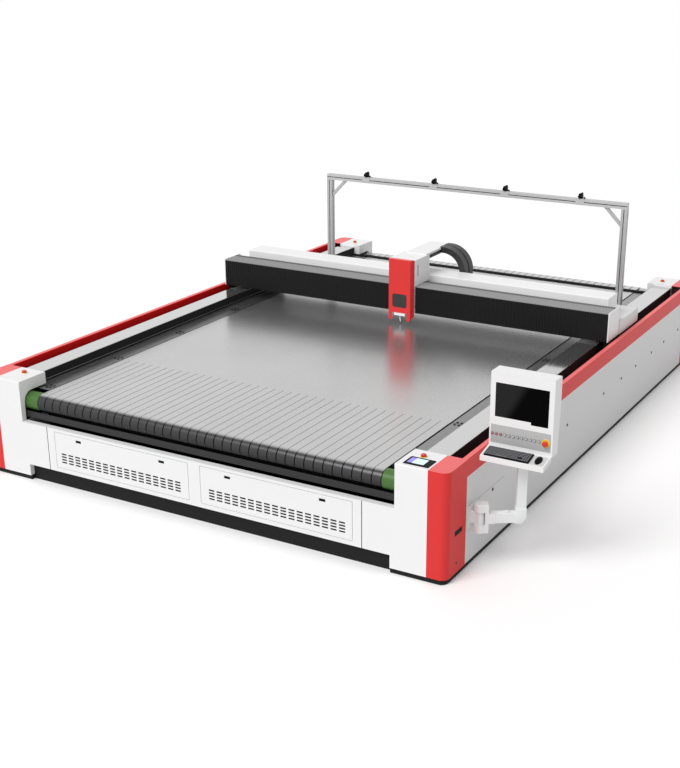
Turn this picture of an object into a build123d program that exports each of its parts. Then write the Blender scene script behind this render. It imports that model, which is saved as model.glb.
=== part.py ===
from build123d import *
import os
from math import atan2, cos, degrees, hypot, pi, radians, sin

# Vision laser cutting machine with a wide conveyor table.
# Frame: x runs across the machine, y into its depth with the front towards -y, z up.
# The origin is on the floor under the middle of the machine's body.

# Body
body_width = 4328.0
body_length = 5950.0
body_height = 862.0
plinth_height = 40.0
sheet = 3.0
post_outer_x = 2008.0
post_inner_x = 1750.0
post_depth = 312.0
corner_radius = 62.0
foot_inner_x = 1715.0
foot_depth = 140.0
panel_edge_x = 1486.0
panel_bottom = 143.0
sill_height = 519.0
sill_depth = 54.0
arch_front = 48.0
arch_top = 761.0
arch_rise = 90.0
plinth_wall = 150.0
plinth_inset = 10.0
toe_recess = 45.0
panel_set_back = 3.0
frame_inset = 60.0
tube_size = 80.0
tube_wall = 5.0
tube_count = 7
tube_inset = 365.0
tube_height = 500.0
sill_beam_gap = 6.0
sill_beam_bottom = 545.0
sill_beam_top = 600.0
sill_beam_depth = 90.0
sill_beam_wall = 4.0
bearer_count = 6
bearer_inset = 725.0
bearer_width = 60.0

# Conveyor
belt_top = 751.0
belt_width = 3232.0
belt_thickness = 3.0
drum_radius = 75.7
belt_gap = 0.3
roller_inset = 130.0
drum_length = 3580.0
drum_wall = 8.0
journal_radius = 20.0
journal_clearance = 0.05
journal_length = 100.0
strip_count = 40
strip_groove = 5.0
groove_depth = 0.9
groove_reach = 1160.0

# Side channels and gantry ways
frame_top = 636.0
frame_wall = 8.0
rail_beam_width = 186.0
rail_beam_inner_x = 1819.0
rail_beam_wall = 8.0
rail_cover_top = 840.5
rail_cover_thickness = 4.5
deck_top = 749.0
deck_inner_x = 1630.0
slot_width = 114.0
band_bottom = 728.0
guide_width = 34.0
guide_height = 30.0
carriage_clearance = 0.3

# Front doors
door_inner_x = 55.0
door_outer_x = 1410.0
door_bottom = 178.0
door_top = 495.0
door_gap = 4.0
door_depth = 18.0
door_skin = 2.0
pivot_radius = 4.0
pivot_height = 7.0
pivot_clearance = 0.05
jamb_depth = 22.0
vent_groups = 17
vent_rows = 4
vent_first_x = 162.0
vent_last_x = 1322.0
vent_width = 50.0
vent_slot = 9.0
vent_pitch = 24.0
vent_middle = 273.0
latch_width = 55.0
latch_height = 22.0
latch_z = 450.0
latch_x = (313.0, 1155.0)
latch_gap = 0.5
latch_depth = 7.0
latch_wall = 2.0
latch_pin_radius = 1.5
side_latch_y = 190.0
side_latch_z = 357.0
side_latch_width = 120.0
side_latch_height = 42.0

# Gantry
gantry_front = 3408.0
gantry_half_width = 2094.0
gantry_bottom = 862.0
gantry_top = 1134.0
end_plate = 8.0
carriage_length = 150.0
carriage_width = 76.0
carriage_lift = 8.0
carriage_top = 56.0
carriage_inset = 60.0
end_depth = 285.0
end_box_depth = 527.0
end_box_width = 210.0
end_box_top = 990.0
beam_depth = 240.0
beam_height = 220.0
beam_wall = 8.0
beam_set_back = 42.0
leg_width = 54.0
leg_inset = 50.0
pleat_count = 36
pleat_depth = 7.0
bellows_skin = 6.0
bellows_reach = 232.0
cover_half_width = 1980.0
cover_front = 3700.0
cover_depth = 247.0
cover_top = 1184.0
cover_bottom = 1070.0
tray_back = 4175.0
tray_wall = 4.0
tray_lip = 46.0
tube_radius = 40.0
tube_length = 1650.0
rail_spacing = 130.0
rail_size = 20.0

# Cutting head
head_x = 8.0
head_half_width = 138.0
head_front = 3340.0
head_bevel = 21.0
head_bevel_depth = 45.0
head_top = 1390.0
head_box_back = 3700.0
head_bottom = 790.0
head_gap_top = 866.0
head_gap_half_width = 79.0
window_half_width = 78.0
window_bottom = 918.0
window_top = 1052.0
window_radius = 22.0
nozzle_radius = 15.0
nozzle_clearance = 0.05
nozzle_tip_z = 768.0

# Energy chain on the head's arm
arm_left_x = -72.0
arm_notch_x = 128.0
arm_top = 1402.0
arm_back = 4160.0
chain_inner_radius = 180.0
chain_height = 60.0
chain_front = 3955.0
chain_width = 92.0
chain_spacing = 108.0
link_pitch = 60.0
link_count = 15
link_overlap = 17.0
link_bar = 14.0
link_plate = 5.0
link_chamfer = 14.0

# Camera frame
profile_size = 60.0
profile_slot = 8.0
camera_post_x = 1687.0
camera_frame_y = 4896.0
camera_frame_top = 1830.0
foot_size = 100.0
foot_height = 34.0
brace_leg = 185.0
brace_size = 30.0
camera_x = (408.0, 1225.0)
camera_bracket_width = 90.0
camera_width = 45.0
camera_height = 59.0
camera_depth = 60.0
lens_radius = 17.0

# Console
console_x = 2478.5
console_width = 475.0
console_front = 490.0
console_bottom = 931.0
console_top = 1482.0
console_top_depth = 124.0
screen_width = 399.0
screen_bottom = 1151.0
screen_top = 1402.0
screen_step = 20.0
button_panel_width = 451.0
button_panel_bottom = 953.0
button_panel_top = 1090.0
button_radius = 7.0
button_count = 12
tray_front = 340.0
tray_bottom = 864.0
tray_lip_top = 900.0
tray_rise = 34.0
tray_rim = 12.0
tray_pocket = 7.0
keyboard_width = 334.0
keyboard_depth = 112.0
keyboard_height = 12.0
swing_x = 2237.0
swing_y = 392.0
swing_pin_radius = 14.0
swing_clearance = 0.06
knuckle_radius = 46.0
knuckle_bottom = 292.0
knuckle_top = 512.0
tongue_bottom = 352.0
tongue_top = 452.0
mast_x = 2485.0
mast_y = 540.0
arm_height = 403.0
arm_size = 68.0
arm_wall = 4.0

# Emergency stops
stop_radius = 20.0
stop_neck_radius = 9.0
stop_clearance = 0.08
stop_neck_depth = 20.0
stop_lift = 11.0
stop_cap_height = 14.0
stop_post_x = 1875.0
stop_front_y = 200.0
console_stop_x = 2667.0
console_stop_z = 1019.0

# Touch panel on the right front post
touch_panel_x = 1894.5
touch_panel_y = 100.0
touch_panel_width = 195.0
touch_panel_depth = 130.0
touch_panel_height = 8.0
touch_screen_x = 1880.5
touch_screen_width = 131.0
touch_screen_depth = 96.0
touch_screen_sink = 1.5

# Values that follow from the ones above
half_width = body_width / 2
front = -body_length / 2
rear = body_length / 2
panel_face_x = half_width - panel_set_back
frame_outer_x = rail_beam_inner_x + rail_beam_width + slot_width
rail_beam_outer_x = rail_beam_inner_x + rail_beam_width
rail_beam_top = rail_cover_top - rail_cover_thickness
guide_x = rail_beam_outer_x + slot_width / 2
belt_outer_radius = drum_radius + belt_gap + belt_thickness
roller_z = belt_top - belt_outer_radius
table_top = belt_top - belt_thickness
half_belt = belt_width / 2
table_edge_x = deck_inner_x - 14.0
bearer_top = 700.0
bearer_height = 40.0
deck_end = roller_inset + belt_outer_radius + 6.0
head_left = head_x - head_half_width
head_right = head_x + head_half_width
beam_front = gantry_front + beam_set_back
beam_back = beam_front + beam_depth
beam_bottom = gantry_bottom + 28.0
gantry_back = gantry_front + end_depth + end_box_depth
plate_front = head_front + head_bevel_depth
plate_back = beam_front - 30.0
chain_bend_x = head_right + 24.0
chain_outer_radius = chain_inner_radius + chain_height
chain_top = arm_top + 6.0
chain_bend_z = chain_top - chain_outer_radius
chain_floor = chain_bend_z - chain_outer_radius
link_half = link_pitch / 2 + link_overlap
swing_angle = degrees(atan2(mast_y - swing_y, mast_x - swing_x))
swing_reach = hypot(mast_y - swing_y, mast_x - swing_x)
console_left = console_x - console_width / 2
tray_slope = degrees(atan2(tray_rise, console_front - tray_front))


def at_y(distance):
    # Upright cross plane, at a distance behind the machine's front face
    return Plane.XZ.offset(-(front + distance))


def cross_box(x_range, y_range, z_range, mode=Mode.ADD):
    # Rectangular block given by its limits, with y counted from the machine's front face
    width = x_range[1] - x_range[0]
    depth = y_range[1] - y_range[0]
    height = z_range[1] - z_range[0]
    with Locations((x_range[0], front + y_range[0], z_range[0])):
        Box(width, depth, height, align=(Align.MIN, Align.MIN, Align.MIN), mode=mode)


def finish(builder, name):
    builder.part.label = name
    export_step(builder.part, f"parts/{name}.step")


os.makedirs("parts", exist_ok=True)

# Plinth: a black ring with a floor sheet, and toe boards that stand back between the feet
with BuildPart() as base_plinth:
    with BuildSketch():
        Rectangle(body_width - 2 * plinth_inset, body_length - 2 * plinth_inset)
        fillet(vertices(), corner_radius - plinth_inset)
        Rectangle(body_width - 2 * plinth_wall, body_length - 2 * plinth_wall, mode=Mode.SUBTRACT)
        Rectangle(body_width - 2 * plinth_wall, plinth_wall)
        with Locations((0, front), (0, rear)):
            Rectangle(2 * foot_inner_x, 2 * toe_recess, mode=Mode.SUBTRACT)
    extrude(amount=plinth_height)
    with BuildSketch():
        Rectangle(body_width - 2 * plinth_wall, body_length - 2 * plinth_wall)
    extrude(amount=sheet)
    with BuildSketch(Plane.XY.offset(plinth_height)):
        with Locations((0, front + toe_recess + sheet), (0, rear - toe_recess - sheet)):
            Rectangle(2 * foot_inner_x, 2 * sheet)
    extrude(amount=panel_bottom - plinth_height)
finish(base_plinth, "base_plinth")

# Welded box frame down each side
with BuildPart() as side_frame_right:
    with BuildSketch(at_y(frame_inset)):
        with Locations(((rail_beam_inner_x + frame_outer_x) / 2, (plinth_height + frame_top) / 2)):
            Rectangle(frame_outer_x - rail_beam_inner_x, frame_top - plinth_height)
            Rectangle(
                frame_outer_x - rail_beam_inner_x - 2 * frame_wall,
                frame_top - plinth_height - 2 * frame_wall,
                mode=Mode.SUBTRACT,
            )
    extrude(amount=-(body_length - 2 * frame_inset))
finish(side_frame_right, "side_frame_right")

with BuildPart() as side_frame_left:
    mirror(side_frame_right.part, about=Plane.YZ)
finish(side_frame_left, "side_frame_left")

# Square tubes that tie the two side frames together, the sill beam at each end,
# and the bearers that carry the table between the rail beams
with BuildPart() as cross_members:
    with BuildSketch(Plane.YZ.offset(-rail_beam_inner_x)):
        with Locations((0, tube_height)):
            with GridLocations((body_length - 2 * tube_inset) / (tube_count - 1), 1.0, tube_count, 1):
                Rectangle(tube_size, tube_size)
                Rectangle(tube_size - 2 * tube_wall, tube_size - 2 * tube_wall, mode=Mode.SUBTRACT)
    extrude(amount=2 * rail_beam_inner_x)
    sill_beam_y = front + sill_depth + sill_beam_gap
    with BuildSketch(Plane.YZ.offset(-rail_beam_inner_x)) as sill_section:
        with BuildLine():
            Polyline(
                (sill_beam_y, sill_beam_bottom),
                (sill_beam_y + sill_beam_depth, sill_beam_bottom),
                (sill_beam_y + sill_beam_depth, sill_beam_bottom + sill_beam_wall),
                (sill_beam_y + sill_beam_wall, sill_beam_bottom + sill_beam_wall),
                (sill_beam_y + sill_beam_wall, sill_beam_top),
                (sill_beam_y, sill_beam_top),
                close=True,
            )
        make_face()
        mirror(about=Plane.YZ)
    extrude(amount=2 * rail_beam_inner_x)
    with BuildSketch(Plane.XY.offset(bearer_top - bearer_height)):
        with GridLocations(1.0, (body_length - 2 * bearer_inset) / (bearer_count - 1), 1, bearer_count):
            Rectangle(2 * rail_beam_inner_x, bearer_width)
    extrude(amount=bearer_height)
finish(cross_members, "cross_members")

# Painted side panel: a folded pan
with BuildPart() as side_panel_right:
    cross_box(
        (frame_outer_x, panel_face_x), (post_depth, body_length - post_depth), (plinth_height, band_bottom)
    )
    cross_box(
        (frame_outer_x, panel_face_x - sheet),
        (post_depth + sheet, body_length - post_depth - sheet),
        (plinth_height + sheet, band_bottom - sheet),
        mode=Mode.SUBTRACT,
    )
finish(side_panel_right, "side_panel_right")

with BuildPart() as side_panel_left:
    mirror(side_panel_right.part, about=Plane.YZ)
finish(side_panel_left, "side_panel_left")

# Red band on top of each side panel: a folded channel, open below
with BuildPart() as side_bands:
    cross_box(
        (frame_outer_x, half_width), (post_depth, body_length - post_depth), (band_bottom, body_height)
    )
    fillet(edges().filter_by(Axis.Y).group_by(Axis.Z)[-1], 6.0)
    cross_box(
        (frame_outer_x + sheet, half_width - sheet),
        (post_depth, body_length - post_depth),
        (band_bottom, body_height - sheet),
        mode=Mode.SUBTRACT,
    )
    mirror(about=Plane.YZ)
finish(side_bands, "side_bands")

# Corner post: a sheet shell with the foot and the sill wing that runs in to the centre panel
with BuildPart() as front_post_right:
    cross_box((post_inner_x, post_outer_x), (0, post_depth), (plinth_height, body_height))
    cross_box((foot_inner_x, post_inner_x), (0, foot_depth), (plinth_height, panel_bottom))
    cross_box((panel_edge_x, post_inner_x), (0, sill_depth), (panel_bottom, sill_height))
    fillet(edges().filter_by(Axis.X).group_by(Axis.Z)[-1].sort_by(Axis.Y)[0], 8.0)
    cross_box(
        (post_inner_x + sheet, post_outer_x),
        (sheet, post_depth - sheet),
        (plinth_height, body_height - sheet),
        mode=Mode.SUBTRACT,
    )
    cross_box(
        (foot_inner_x + sheet, post_outer_x),
        (sheet, foot_depth - sheet),
        (plinth_height, panel_bottom - sheet),
        mode=Mode.SUBTRACT,
    )
    cross_box(
        (panel_edge_x + sheet, post_inner_x + sheet),
        (sheet, sill_depth),
        (panel_bottom + sheet, sill_height - sheet),
        mode=Mode.SUBTRACT,
    )
    cross_box(
        (post_inner_x + sheet, post_outer_x),
        (post_depth - sheet, post_depth),
        (plinth_height, arch_top),
        mode=Mode.SUBTRACT,
    )
    with BuildSketch(Plane.YZ.offset(post_inner_x)):
        with Locations((front + arch_front, sill_height)):
            Rectangle(post_depth - arch_front, arch_top - sill_height, align=(Align.MIN, Align.MIN))
        fillet(vertices().sort_by(Axis.Y)[-2:].sort_by(Axis.X)[0], arch_rise)
    extrude(amount=sheet, mode=Mode.SUBTRACT)
    with Locations((stop_post_x, front + stop_front_y, body_height)):
        Cylinder(stop_radius + 6.0, 5.0, align=(Align.CENTER, Align.CENTER, Align.MIN))
    with Locations((stop_post_x, front + stop_front_y, body_height - sheet)):
        Cylinder(
            stop_neck_radius + stop_clearance,
            sheet + 5.0,
            align=(Align.CENTER, Align.CENTER, Align.MIN),
            mode=Mode.SUBTRACT,
        )
finish(front_post_right, "front_post_right")

with BuildPart() as front_post_left:
    mirror(front_post_right.part, about=Plane.YZ)
finish(front_post_left, "front_post_left")

with BuildPart() as rear_posts:
    mirror(front_post_right.part, about=Plane.XZ)
    mirror(about=Plane.YZ)
finish(rear_posts, "rear_posts")

# Red corner covers with a large rounded corner; the front right one holds a pull latch
with BuildPart() as corner_covers:
    with BuildSketch(Plane.XY.offset(plinth_height)):
        with Locations((post_outer_x, front)):
            Rectangle(half_width - post_outer_x, post_depth, align=(Align.MIN, Align.MIN))
        fillet(vertices().sort_by(Axis.X)[-2:].sort_by(Axis.Y)[0], corner_radius)
    extrude(amount=body_height - plinth_height)
    with BuildSketch(Plane.XY.offset(plinth_height)):
        with Locations((post_outer_x, front + sheet)):
            Rectangle(half_width - post_outer_x - sheet, post_depth - sheet, align=(Align.MIN, Align.MIN))
        fillet(vertices().sort_by(Axis.X)[-2:].sort_by(Axis.Y)[0], corner_radius - sheet)
    extrude(amount=body_height - plinth_height - sheet, mode=Mode.SUBTRACT)
    mirror(about=Plane.YZ)
    mirror(about=Plane.XZ)
    cross_box(
        (half_width - latch_depth - 8.0, half_width - sheet),
        (side_latch_y - side_latch_width / 2 - latch_wall, side_latch_y + side_latch_width / 2 + latch_wall),
        (side_latch_z - side_latch_height / 2 - latch_wall, side_latch_z + side_latch_height / 2 + latch_wall),
    )
    cross_box(
        (half_width - latch_depth - 8.0, half_width),
        (side_latch_y - side_latch_width / 2, side_latch_y + side_latch_width / 2),
        (side_latch_z - side_latch_height / 2, side_latch_z + side_latch_height / 2),
        mode=Mode.SUBTRACT,
    )
    side_pin = (half_width - latch_depth / 2, front + side_latch_y, side_latch_z + side_latch_height / 2 - 5.0)
    with Locations(side_pin):
        Cylinder(
            latch_pin_radius + pivot_clearance,
            side_latch_width + 2 * latch_wall,
            rotation=(90, 0, 0),
            mode=Mode.SUBTRACT,
        )
finish(corner_covers, "corner_covers")

# Front centre panel with two framed door openings
with BuildPart() as front_panel:
    cross_box((-panel_edge_x, panel_edge_x), (0, sill_depth), (panel_bottom, sill_height))
    cross_box(
        (-panel_edge_x + sheet, panel_edge_x - sheet),
        (sheet, sill_depth),
        (panel_bottom + sheet, sill_height - sheet),
        mode=Mode.SUBTRACT,
    )
    for left, right in ((-door_outer_x, -door_inner_x), (door_inner_x, door_outer_x)):
        cross_box((left - sheet, right + sheet), (sheet, jamb_depth), (door_bottom - sheet, door_top + sheet))
    for left, right in ((-door_outer_x, -door_inner_x), (door_inner_x, door_outer_x)):
        cross_box((left, right), (0, jamb_depth), (door_bottom, door_top), mode=Mode.SUBTRACT)
    door_pivot_z = door_bottom + door_gap + pivot_height
    for middle in (-(door_inner_x + door_outer_x) / 2, (door_inner_x + door_outer_x) / 2):
        with Locations((middle, front + pivot_height, door_pivot_z)):
            Cylinder(
                pivot_radius + pivot_clearance,
                door_outer_x - door_inner_x + 2 * sheet,
                rotation=(0, 90, 0),
                mode=Mode.SUBTRACT,
            )
finish(front_panel, "front_panel")

# Rear centre panel: the same pan with no doors
with BuildPart() as rear_panel:
    cross_box((-panel_edge_x, panel_edge_x), (body_length - sill_depth, body_length), (panel_bottom, sill_height))
    cross_box(
        (-panel_edge_x + sheet, panel_edge_x - sheet),
        (body_length - sill_depth, body_length - sheet),
        (panel_bottom + sheet, sill_height - sheet),
        mode=Mode.SUBTRACT,
    )
finish(rear_panel, "rear_panel")

# Each front door: a folded pan with rows of vent slots, two latch pockets and two pivot pins
with BuildPart() as front_door_right:
    cross_box(
        (door_inner_x + door_gap, door_outer_x - door_gap),
        (0, door_depth),
        (door_bottom + door_gap, door_top - door_gap),
    )
    cross_box(
        (door_inner_x + door_gap + door_skin, door_outer_x - door_gap - door_skin),
        (door_skin, door_depth),
        (door_bottom + door_gap + door_skin, door_top - door_gap - door_skin),
        mode=Mode.SUBTRACT,
    )
    for x in latch_x:
        cross_box(
            (x - latch_width / 2 - latch_wall, x + latch_width / 2 + latch_wall),
            (door_skin, latch_depth + 6.0),
            (latch_z - latch_height / 2 - latch_wall, latch_z + latch_height / 2 + latch_wall),
        )
        cross_box(
            (x - latch_width / 2, x + latch_width / 2),
            (0, latch_depth + 6.0),
            (latch_z - latch_height / 2, latch_z + latch_height / 2),
            mode=Mode.SUBTRACT,
        )
        with Locations((x, front + latch_depth / 2 + 1.0, latch_z + latch_height / 2 - 4.0)):
            Cylinder(
                latch_pin_radius + pivot_clearance,
                latch_width + 2 * latch_wall,
                rotation=(0, 90, 0),
                mode=Mode.SUBTRACT,
            )
    with BuildSketch(at_y(0)):
        with Locations(((vent_first_x + vent_last_x) / 2, vent_middle)):
            with GridLocations(
                (vent_last_x - vent_first_x) / (vent_groups - 1), vent_pitch, vent_groups, vent_rows
            ):
                Rectangle(vent_width, vent_slot)
    extrude(amount=-door_skin, mode=Mode.SUBTRACT)
    with Locations(
        (door_inner_x + door_gap, front + pivot_height, door_pivot_z),
        (door_outer_x - door_gap, front + pivot_height, door_pivot_z),
    ):
        Cylinder(pivot_radius, 2 * (door_gap + sheet), rotation=(0, 90, 0))
finish(front_door_right, "front_door_right")

with BuildPart() as front_door_left:
    mirror(front_door_right.part, about=Plane.YZ)
finish(front_door_left, "front_door_left")

# Paddle latches, each on its own cross pin
for number, x in enumerate((-latch_x[1], -latch_x[0], latch_x[0], latch_x[1]), start=1):
    with BuildPart() as door_latch:
        cross_box(
            (x - latch_width / 2 + latch_gap, x + latch_width / 2 - latch_gap),
            (1.0, latch_depth),
            (latch_z - latch_height / 2 + latch_gap, latch_z + latch_height / 2 - latch_gap),
        )
        fillet(edges().filter_by(Axis.X).group_by(Axis.Z)[-1], 2.5)
        with Locations((x, front + latch_depth / 2 + 1.0, latch_z + latch_height / 2 - 4.0)):
            Cylinder(latch_pin_radius, latch_width + 2 * latch_wall, rotation=(0, 90, 0))
    finish(door_latch, f"door_latch_{number}")

with BuildPart() as side_latch:
    cross_box(
        (half_width - latch_depth - 1.0, half_width - 1.0),
        (side_latch_y - side_latch_width / 2 + latch_gap, side_latch_y + side_latch_width / 2 - latch_gap),
        (side_latch_z - side_latch_height / 2 + latch_gap, side_latch_z + side_latch_height / 2 - latch_gap),
    )
    fillet(edges().filter_by(Axis.Y).group_by(Axis.Z)[-1], 3.0)
    with Locations(side_pin):
        Cylinder(latch_pin_radius, side_latch_width + 2 * latch_wall, rotation=(90, 0, 0))
finish(side_latch, "side_latch")

# Conveyor belt: one closed loop, grooved lengthwise into strips over the stretch behind the front roller
front_axis_y = front + roller_inset
rear_axis_y = rear - roller_inset
with BuildPart() as conveyor_belt:
    with BuildSketch(Plane.YZ.offset(-half_belt)):
        with Locations((0, roller_z)):
            SlotCenterToCenter(rear_axis_y - front_axis_y, 2 * belt_outer_radius)
            SlotCenterToCenter(
                rear_axis_y - front_axis_y, 2 * (belt_outer_radius - belt_thickness), mode=Mode.SUBTRACT
            )
    extrude(amount=belt_width)
    strip_pitch = belt_width / strip_count
    with BuildSketch(Plane.XY.offset(belt_top)):
        with Locations((0, (front_axis_y + front + groove_reach) / 2)):
            with GridLocations(strip_pitch, 1.0, strip_count - 1, 1):
                Rectangle(strip_groove, groove_reach - roller_inset)
    extrude(amount=-groove_depth, mode=Mode.SUBTRACT)
finish(conveyor_belt, "conveyor_belt")

# Drive rollers: tube, end discs and stub journals
for axis_y, name in ((front_axis_y, "front_roller"), (rear_axis_y, "rear_roller")):
    with BuildPart() as roller:
        with BuildSketch(Plane.YZ.offset(-drum_length / 2)):
            with Locations((axis_y, roller_z)):
                Circle(drum_radius)
                Circle(drum_radius - drum_wall, mode=Mode.SUBTRACT)
        extrude(amount=drum_length)
        with BuildSketch(Plane.YZ.offset(drum_length / 2 - 12.0)):
            with Locations((axis_y, roller_z)):
                Circle(drum_radius - drum_wall)
        extrude(amount=12.0)
        with BuildSketch(Plane.YZ.offset(drum_length / 2)):
            with Locations((axis_y, roller_z)):
                Circle(journal_radius)
        extrude(amount=journal_length)
        mirror(about=Plane.YZ)
    finish(roller, name)

# Pillow blocks that carry the rollers on the side frames
bearing_x = rail_beam_inner_x + 30.0
with BuildPart() as roller_bearings:
    with BuildSketch(Plane.YZ.offset(bearing_x - 20.0)):
        with Locations((front_axis_y, frame_top)):
            Rectangle(150.0, 16.0, align=(Align.CENTER, Align.MIN))
            Rectangle(72.0, roller_z - frame_top, align=(Align.CENTER, Align.MIN))
        with Locations((front_axis_y, roller_z)):
            Circle(36.0)
            Circle(journal_radius + journal_clearance, mode=Mode.SUBTRACT)
    extrude(amount=40.0)
    mirror(about=Plane.YZ)
    mirror(about=Plane.XZ)
finish(roller_bearings, "roller_bearings")

# Table: a closed honeycomb panel that carries the belt
with BuildPart() as bed_table:
    cross_box((-table_edge_x, table_edge_x), (deck_end, body_length - deck_end), (bearer_top, table_top))
finish(bed_table, "bed_table")

# Deck strips beside the belt: folded channels that stand on the bearers
with BuildPart() as deck_strips:
    cross_box(
        (deck_inner_x, rail_beam_inner_x), (deck_end, body_length - deck_end), (bearer_top, deck_top)
    )
    cross_box(
        (deck_inner_x + sheet, rail_beam_inner_x - sheet),
        (deck_end, body_length - deck_end),
        (bearer_top, deck_top - sheet),
        mode=Mode.SUBTRACT,
    )
    mirror(about=Plane.YZ)
finish(deck_strips, "deck_strips")

# Rail beams and their polished top covers
with BuildPart() as rail_beams:
    with BuildSketch(at_y(post_depth)):
        with Locations(((rail_beam_inner_x + rail_beam_outer_x) / 2, (frame_top + rail_beam_top) / 2)):
            Rectangle(rail_beam_width, rail_beam_top - frame_top)
            Rectangle(
                rail_beam_width - 2 * rail_beam_wall,
                rail_beam_top - frame_top - 2 * rail_beam_wall,
                mode=Mode.SUBTRACT,
            )
    extrude(amount=-(body_length - 2 * post_depth))
    mirror(about=Plane.YZ)
finish(rail_beams, "rail_beams")

with BuildPart() as rail_covers:
    cross_box(
        (rail_beam_inner_x, rail_beam_outer_x),
        (post_depth, body_length - post_depth),
        (rail_beam_top, rail_cover_top),
    )
    mirror(about=Plane.YZ)
finish(rail_covers, "rail_covers")

# Profile rails for the gantry, at the bottom of each side slot
with BuildPart() as guide_rails:
    with BuildSketch(at_y(post_depth + 10.0)):
        with Locations((guide_x, frame_top)):
            Rectangle(guide_width, guide_height, align=(Align.CENTER, Align.MIN))
        for side in (-1, 1):
            with Locations((guide_x + side * guide_width / 2, frame_top + guide_height * 0.55)):
                Circle(4.0, mode=Mode.SUBTRACT)
    extrude(amount=-(body_length - 2 * post_depth - 20.0))
    mirror(about=Plane.YZ)
finish(guide_rails, "guide_rails")

# Gantry beam
beam_end_x = gantry_half_width - end_plate
with BuildPart() as gantry_beam:
    with BuildSketch(Plane.YZ.offset(-beam_end_x)):
        with Locations((front + beam_front + beam_depth / 2, beam_bottom + beam_height / 2)):
            Rectangle(beam_depth, beam_height)
            Rectangle(beam_depth - 2 * beam_wall, beam_height - 2 * beam_wall, mode=Mode.SUBTRACT)
    extrude(amount=2 * beam_end_x)
finish(gantry_beam, "gantry_beam")

# Linear rails on the beam's front face
rail_middle_z = beam_bottom + beam_height / 2
with BuildPart() as beam_rails:
    with BuildSketch(Plane.YZ.offset(-beam_end_x)):
        with Locations((front + beam_front - 7.0, rail_middle_z)):
            with GridLocations(1.0, rail_spacing, 1, 2):
                Rectangle(14.0, rail_size)
    extrude(amount=2 * beam_end_x)
finish(beam_rails, "beam_rails")

# Gantry end: side plate, rear drive box, leg in the slot and two rail carriages
with BuildPart() as gantry_end_right:
    cross_box(
        (beam_end_x, gantry_half_width),
        (gantry_front, gantry_front + end_depth),
        (gantry_bottom, gantry_top),
    )
    fillet(edges().filter_by(Axis.X).group_by(Axis.Z)[-1], 14.0)
    cross_box(
        (gantry_half_width - end_box_width, gantry_half_width),
        (gantry_front + end_depth, gantry_back),
        (gantry_bottom, end_box_top),
    )
    fillet(edges().filter_by(Axis.X).group_by(Axis.Y)[-1].sort_by(Axis.Z)[-1], 10.0)
    cross_box(
        (guide_x - leg_width / 2, guide_x + leg_width / 2),
        (gantry_front + leg_inset, gantry_back - leg_inset),
        (frame_top + carriage_top, gantry_bottom),
    )
    cross_box((guide_x - leg_width / 2, beam_end_x), (beam_front, beam_back), (gantry_bottom, beam_bottom))
    for carriage_y in (gantry_front + carriage_inset, gantry_back - carriage_inset - carriage_length):
        cross_box(
            (guide_x - carriage_width / 2, guide_x + carriage_width / 2),
            (carriage_y, carriage_y + carriage_length),
            (frame_top + carriage_lift, frame_top + carriage_top),
        )
        cross_box(
            (guide_x - guide_width / 2 - carriage_clearance, guide_x + guide_width / 2 + carriage_clearance),
            (carriage_y, carriage_y + carriage_length),
            (frame_top + carriage_lift, frame_top + guide_height + carriage_clearance),
            mode=Mode.SUBTRACT,
        )
finish(gantry_end_right, "gantry_end_right")

with BuildPart() as gantry_end_left:
    mirror(gantry_end_right.part, about=Plane.YZ)
finish(gantry_end_left, "gantry_end_left")

# Bellows between the head and each gantry end: an L-shaped skin folded into pleats
bellows_back = front + gantry_front + bellows_reach
for name, start_x, end_x in (
    ("bellows_left", -beam_end_x, head_left - 0.5),
    ("bellows_right", head_right + 0.5, beam_end_x),
):
    with BuildPart() as bellows:
        for step in range(2 * pleat_count + 1):
            fold = pleat_depth * (step % 2)
            outer_y = front + gantry_front + fold
            outer_z = gantry_top - fold
            with BuildSketch(Plane.YZ.offset(start_x + (end_x - start_x) * step / (2 * pleat_count))):
                with BuildLine():
                    Polyline(
                        (outer_y, gantry_bottom),
                        (outer_y, outer_z),
                        (bellows_back, outer_z),
                        (bellows_back, outer_z - bellows_skin),
                        (outer_y + bellows_skin, outer_z - bellows_skin),
                        (outer_y + bellows_skin, gantry_bottom),
                        close=True,
                    )
                make_face()
        loft(ruled=True)
    finish(bellows, name)

# Rear carrier on the gantry: shelf for the laser tube and tray for the energy chain
tray_limit_x = gantry_half_width - end_box_width
tray_floor = chain_floor - (hypot(chain_outer_radius, link_half - link_chamfer) - chain_outer_radius) - 0.3
with BuildPart() as chain_tray:
    with BuildSketch(Plane.YZ.offset(-tray_limit_x)):
        with BuildLine():
            Polyline(
                (front + beam_back, tray_floor - tray_wall),
                (front + tray_back, tray_floor - tray_wall),
                (front + tray_back, tray_floor + tray_lip),
                (front + tray_back - tray_wall, tray_floor + tray_lip),
                (front + tray_back - tray_wall, tray_floor),
                (front + beam_back + tray_wall, tray_floor),
                (front + beam_back + tray_wall, cover_bottom - tray_wall),
                (front + cover_front + cover_depth, cover_bottom - tray_wall),
                (front + cover_front + cover_depth, cover_bottom),
                (front + beam_back, cover_bottom),
                close=True,
            )
        make_face()
    extrude(amount=2 * tray_limit_x)
finish(chain_tray, "chain_tray")

# White cover over the laser tube
with BuildPart() as gantry_cover:
    cross_box(
        (-cover_half_width, cover_half_width),
        (cover_front, cover_front + cover_depth),
        (cover_bottom, cover_top),
    )
    fillet(edges().filter_by(Axis.X).group_by(Axis.Z)[-1], 8.0)
    cross_box(
        (-cover_half_width + sheet, cover_half_width - sheet),
        (cover_front + sheet, cover_front + cover_depth - sheet),
        (cover_bottom, cover_top - sheet),
        mode=Mode.SUBTRACT,
    )
finish(gantry_cover, "gantry_cover")

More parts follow.
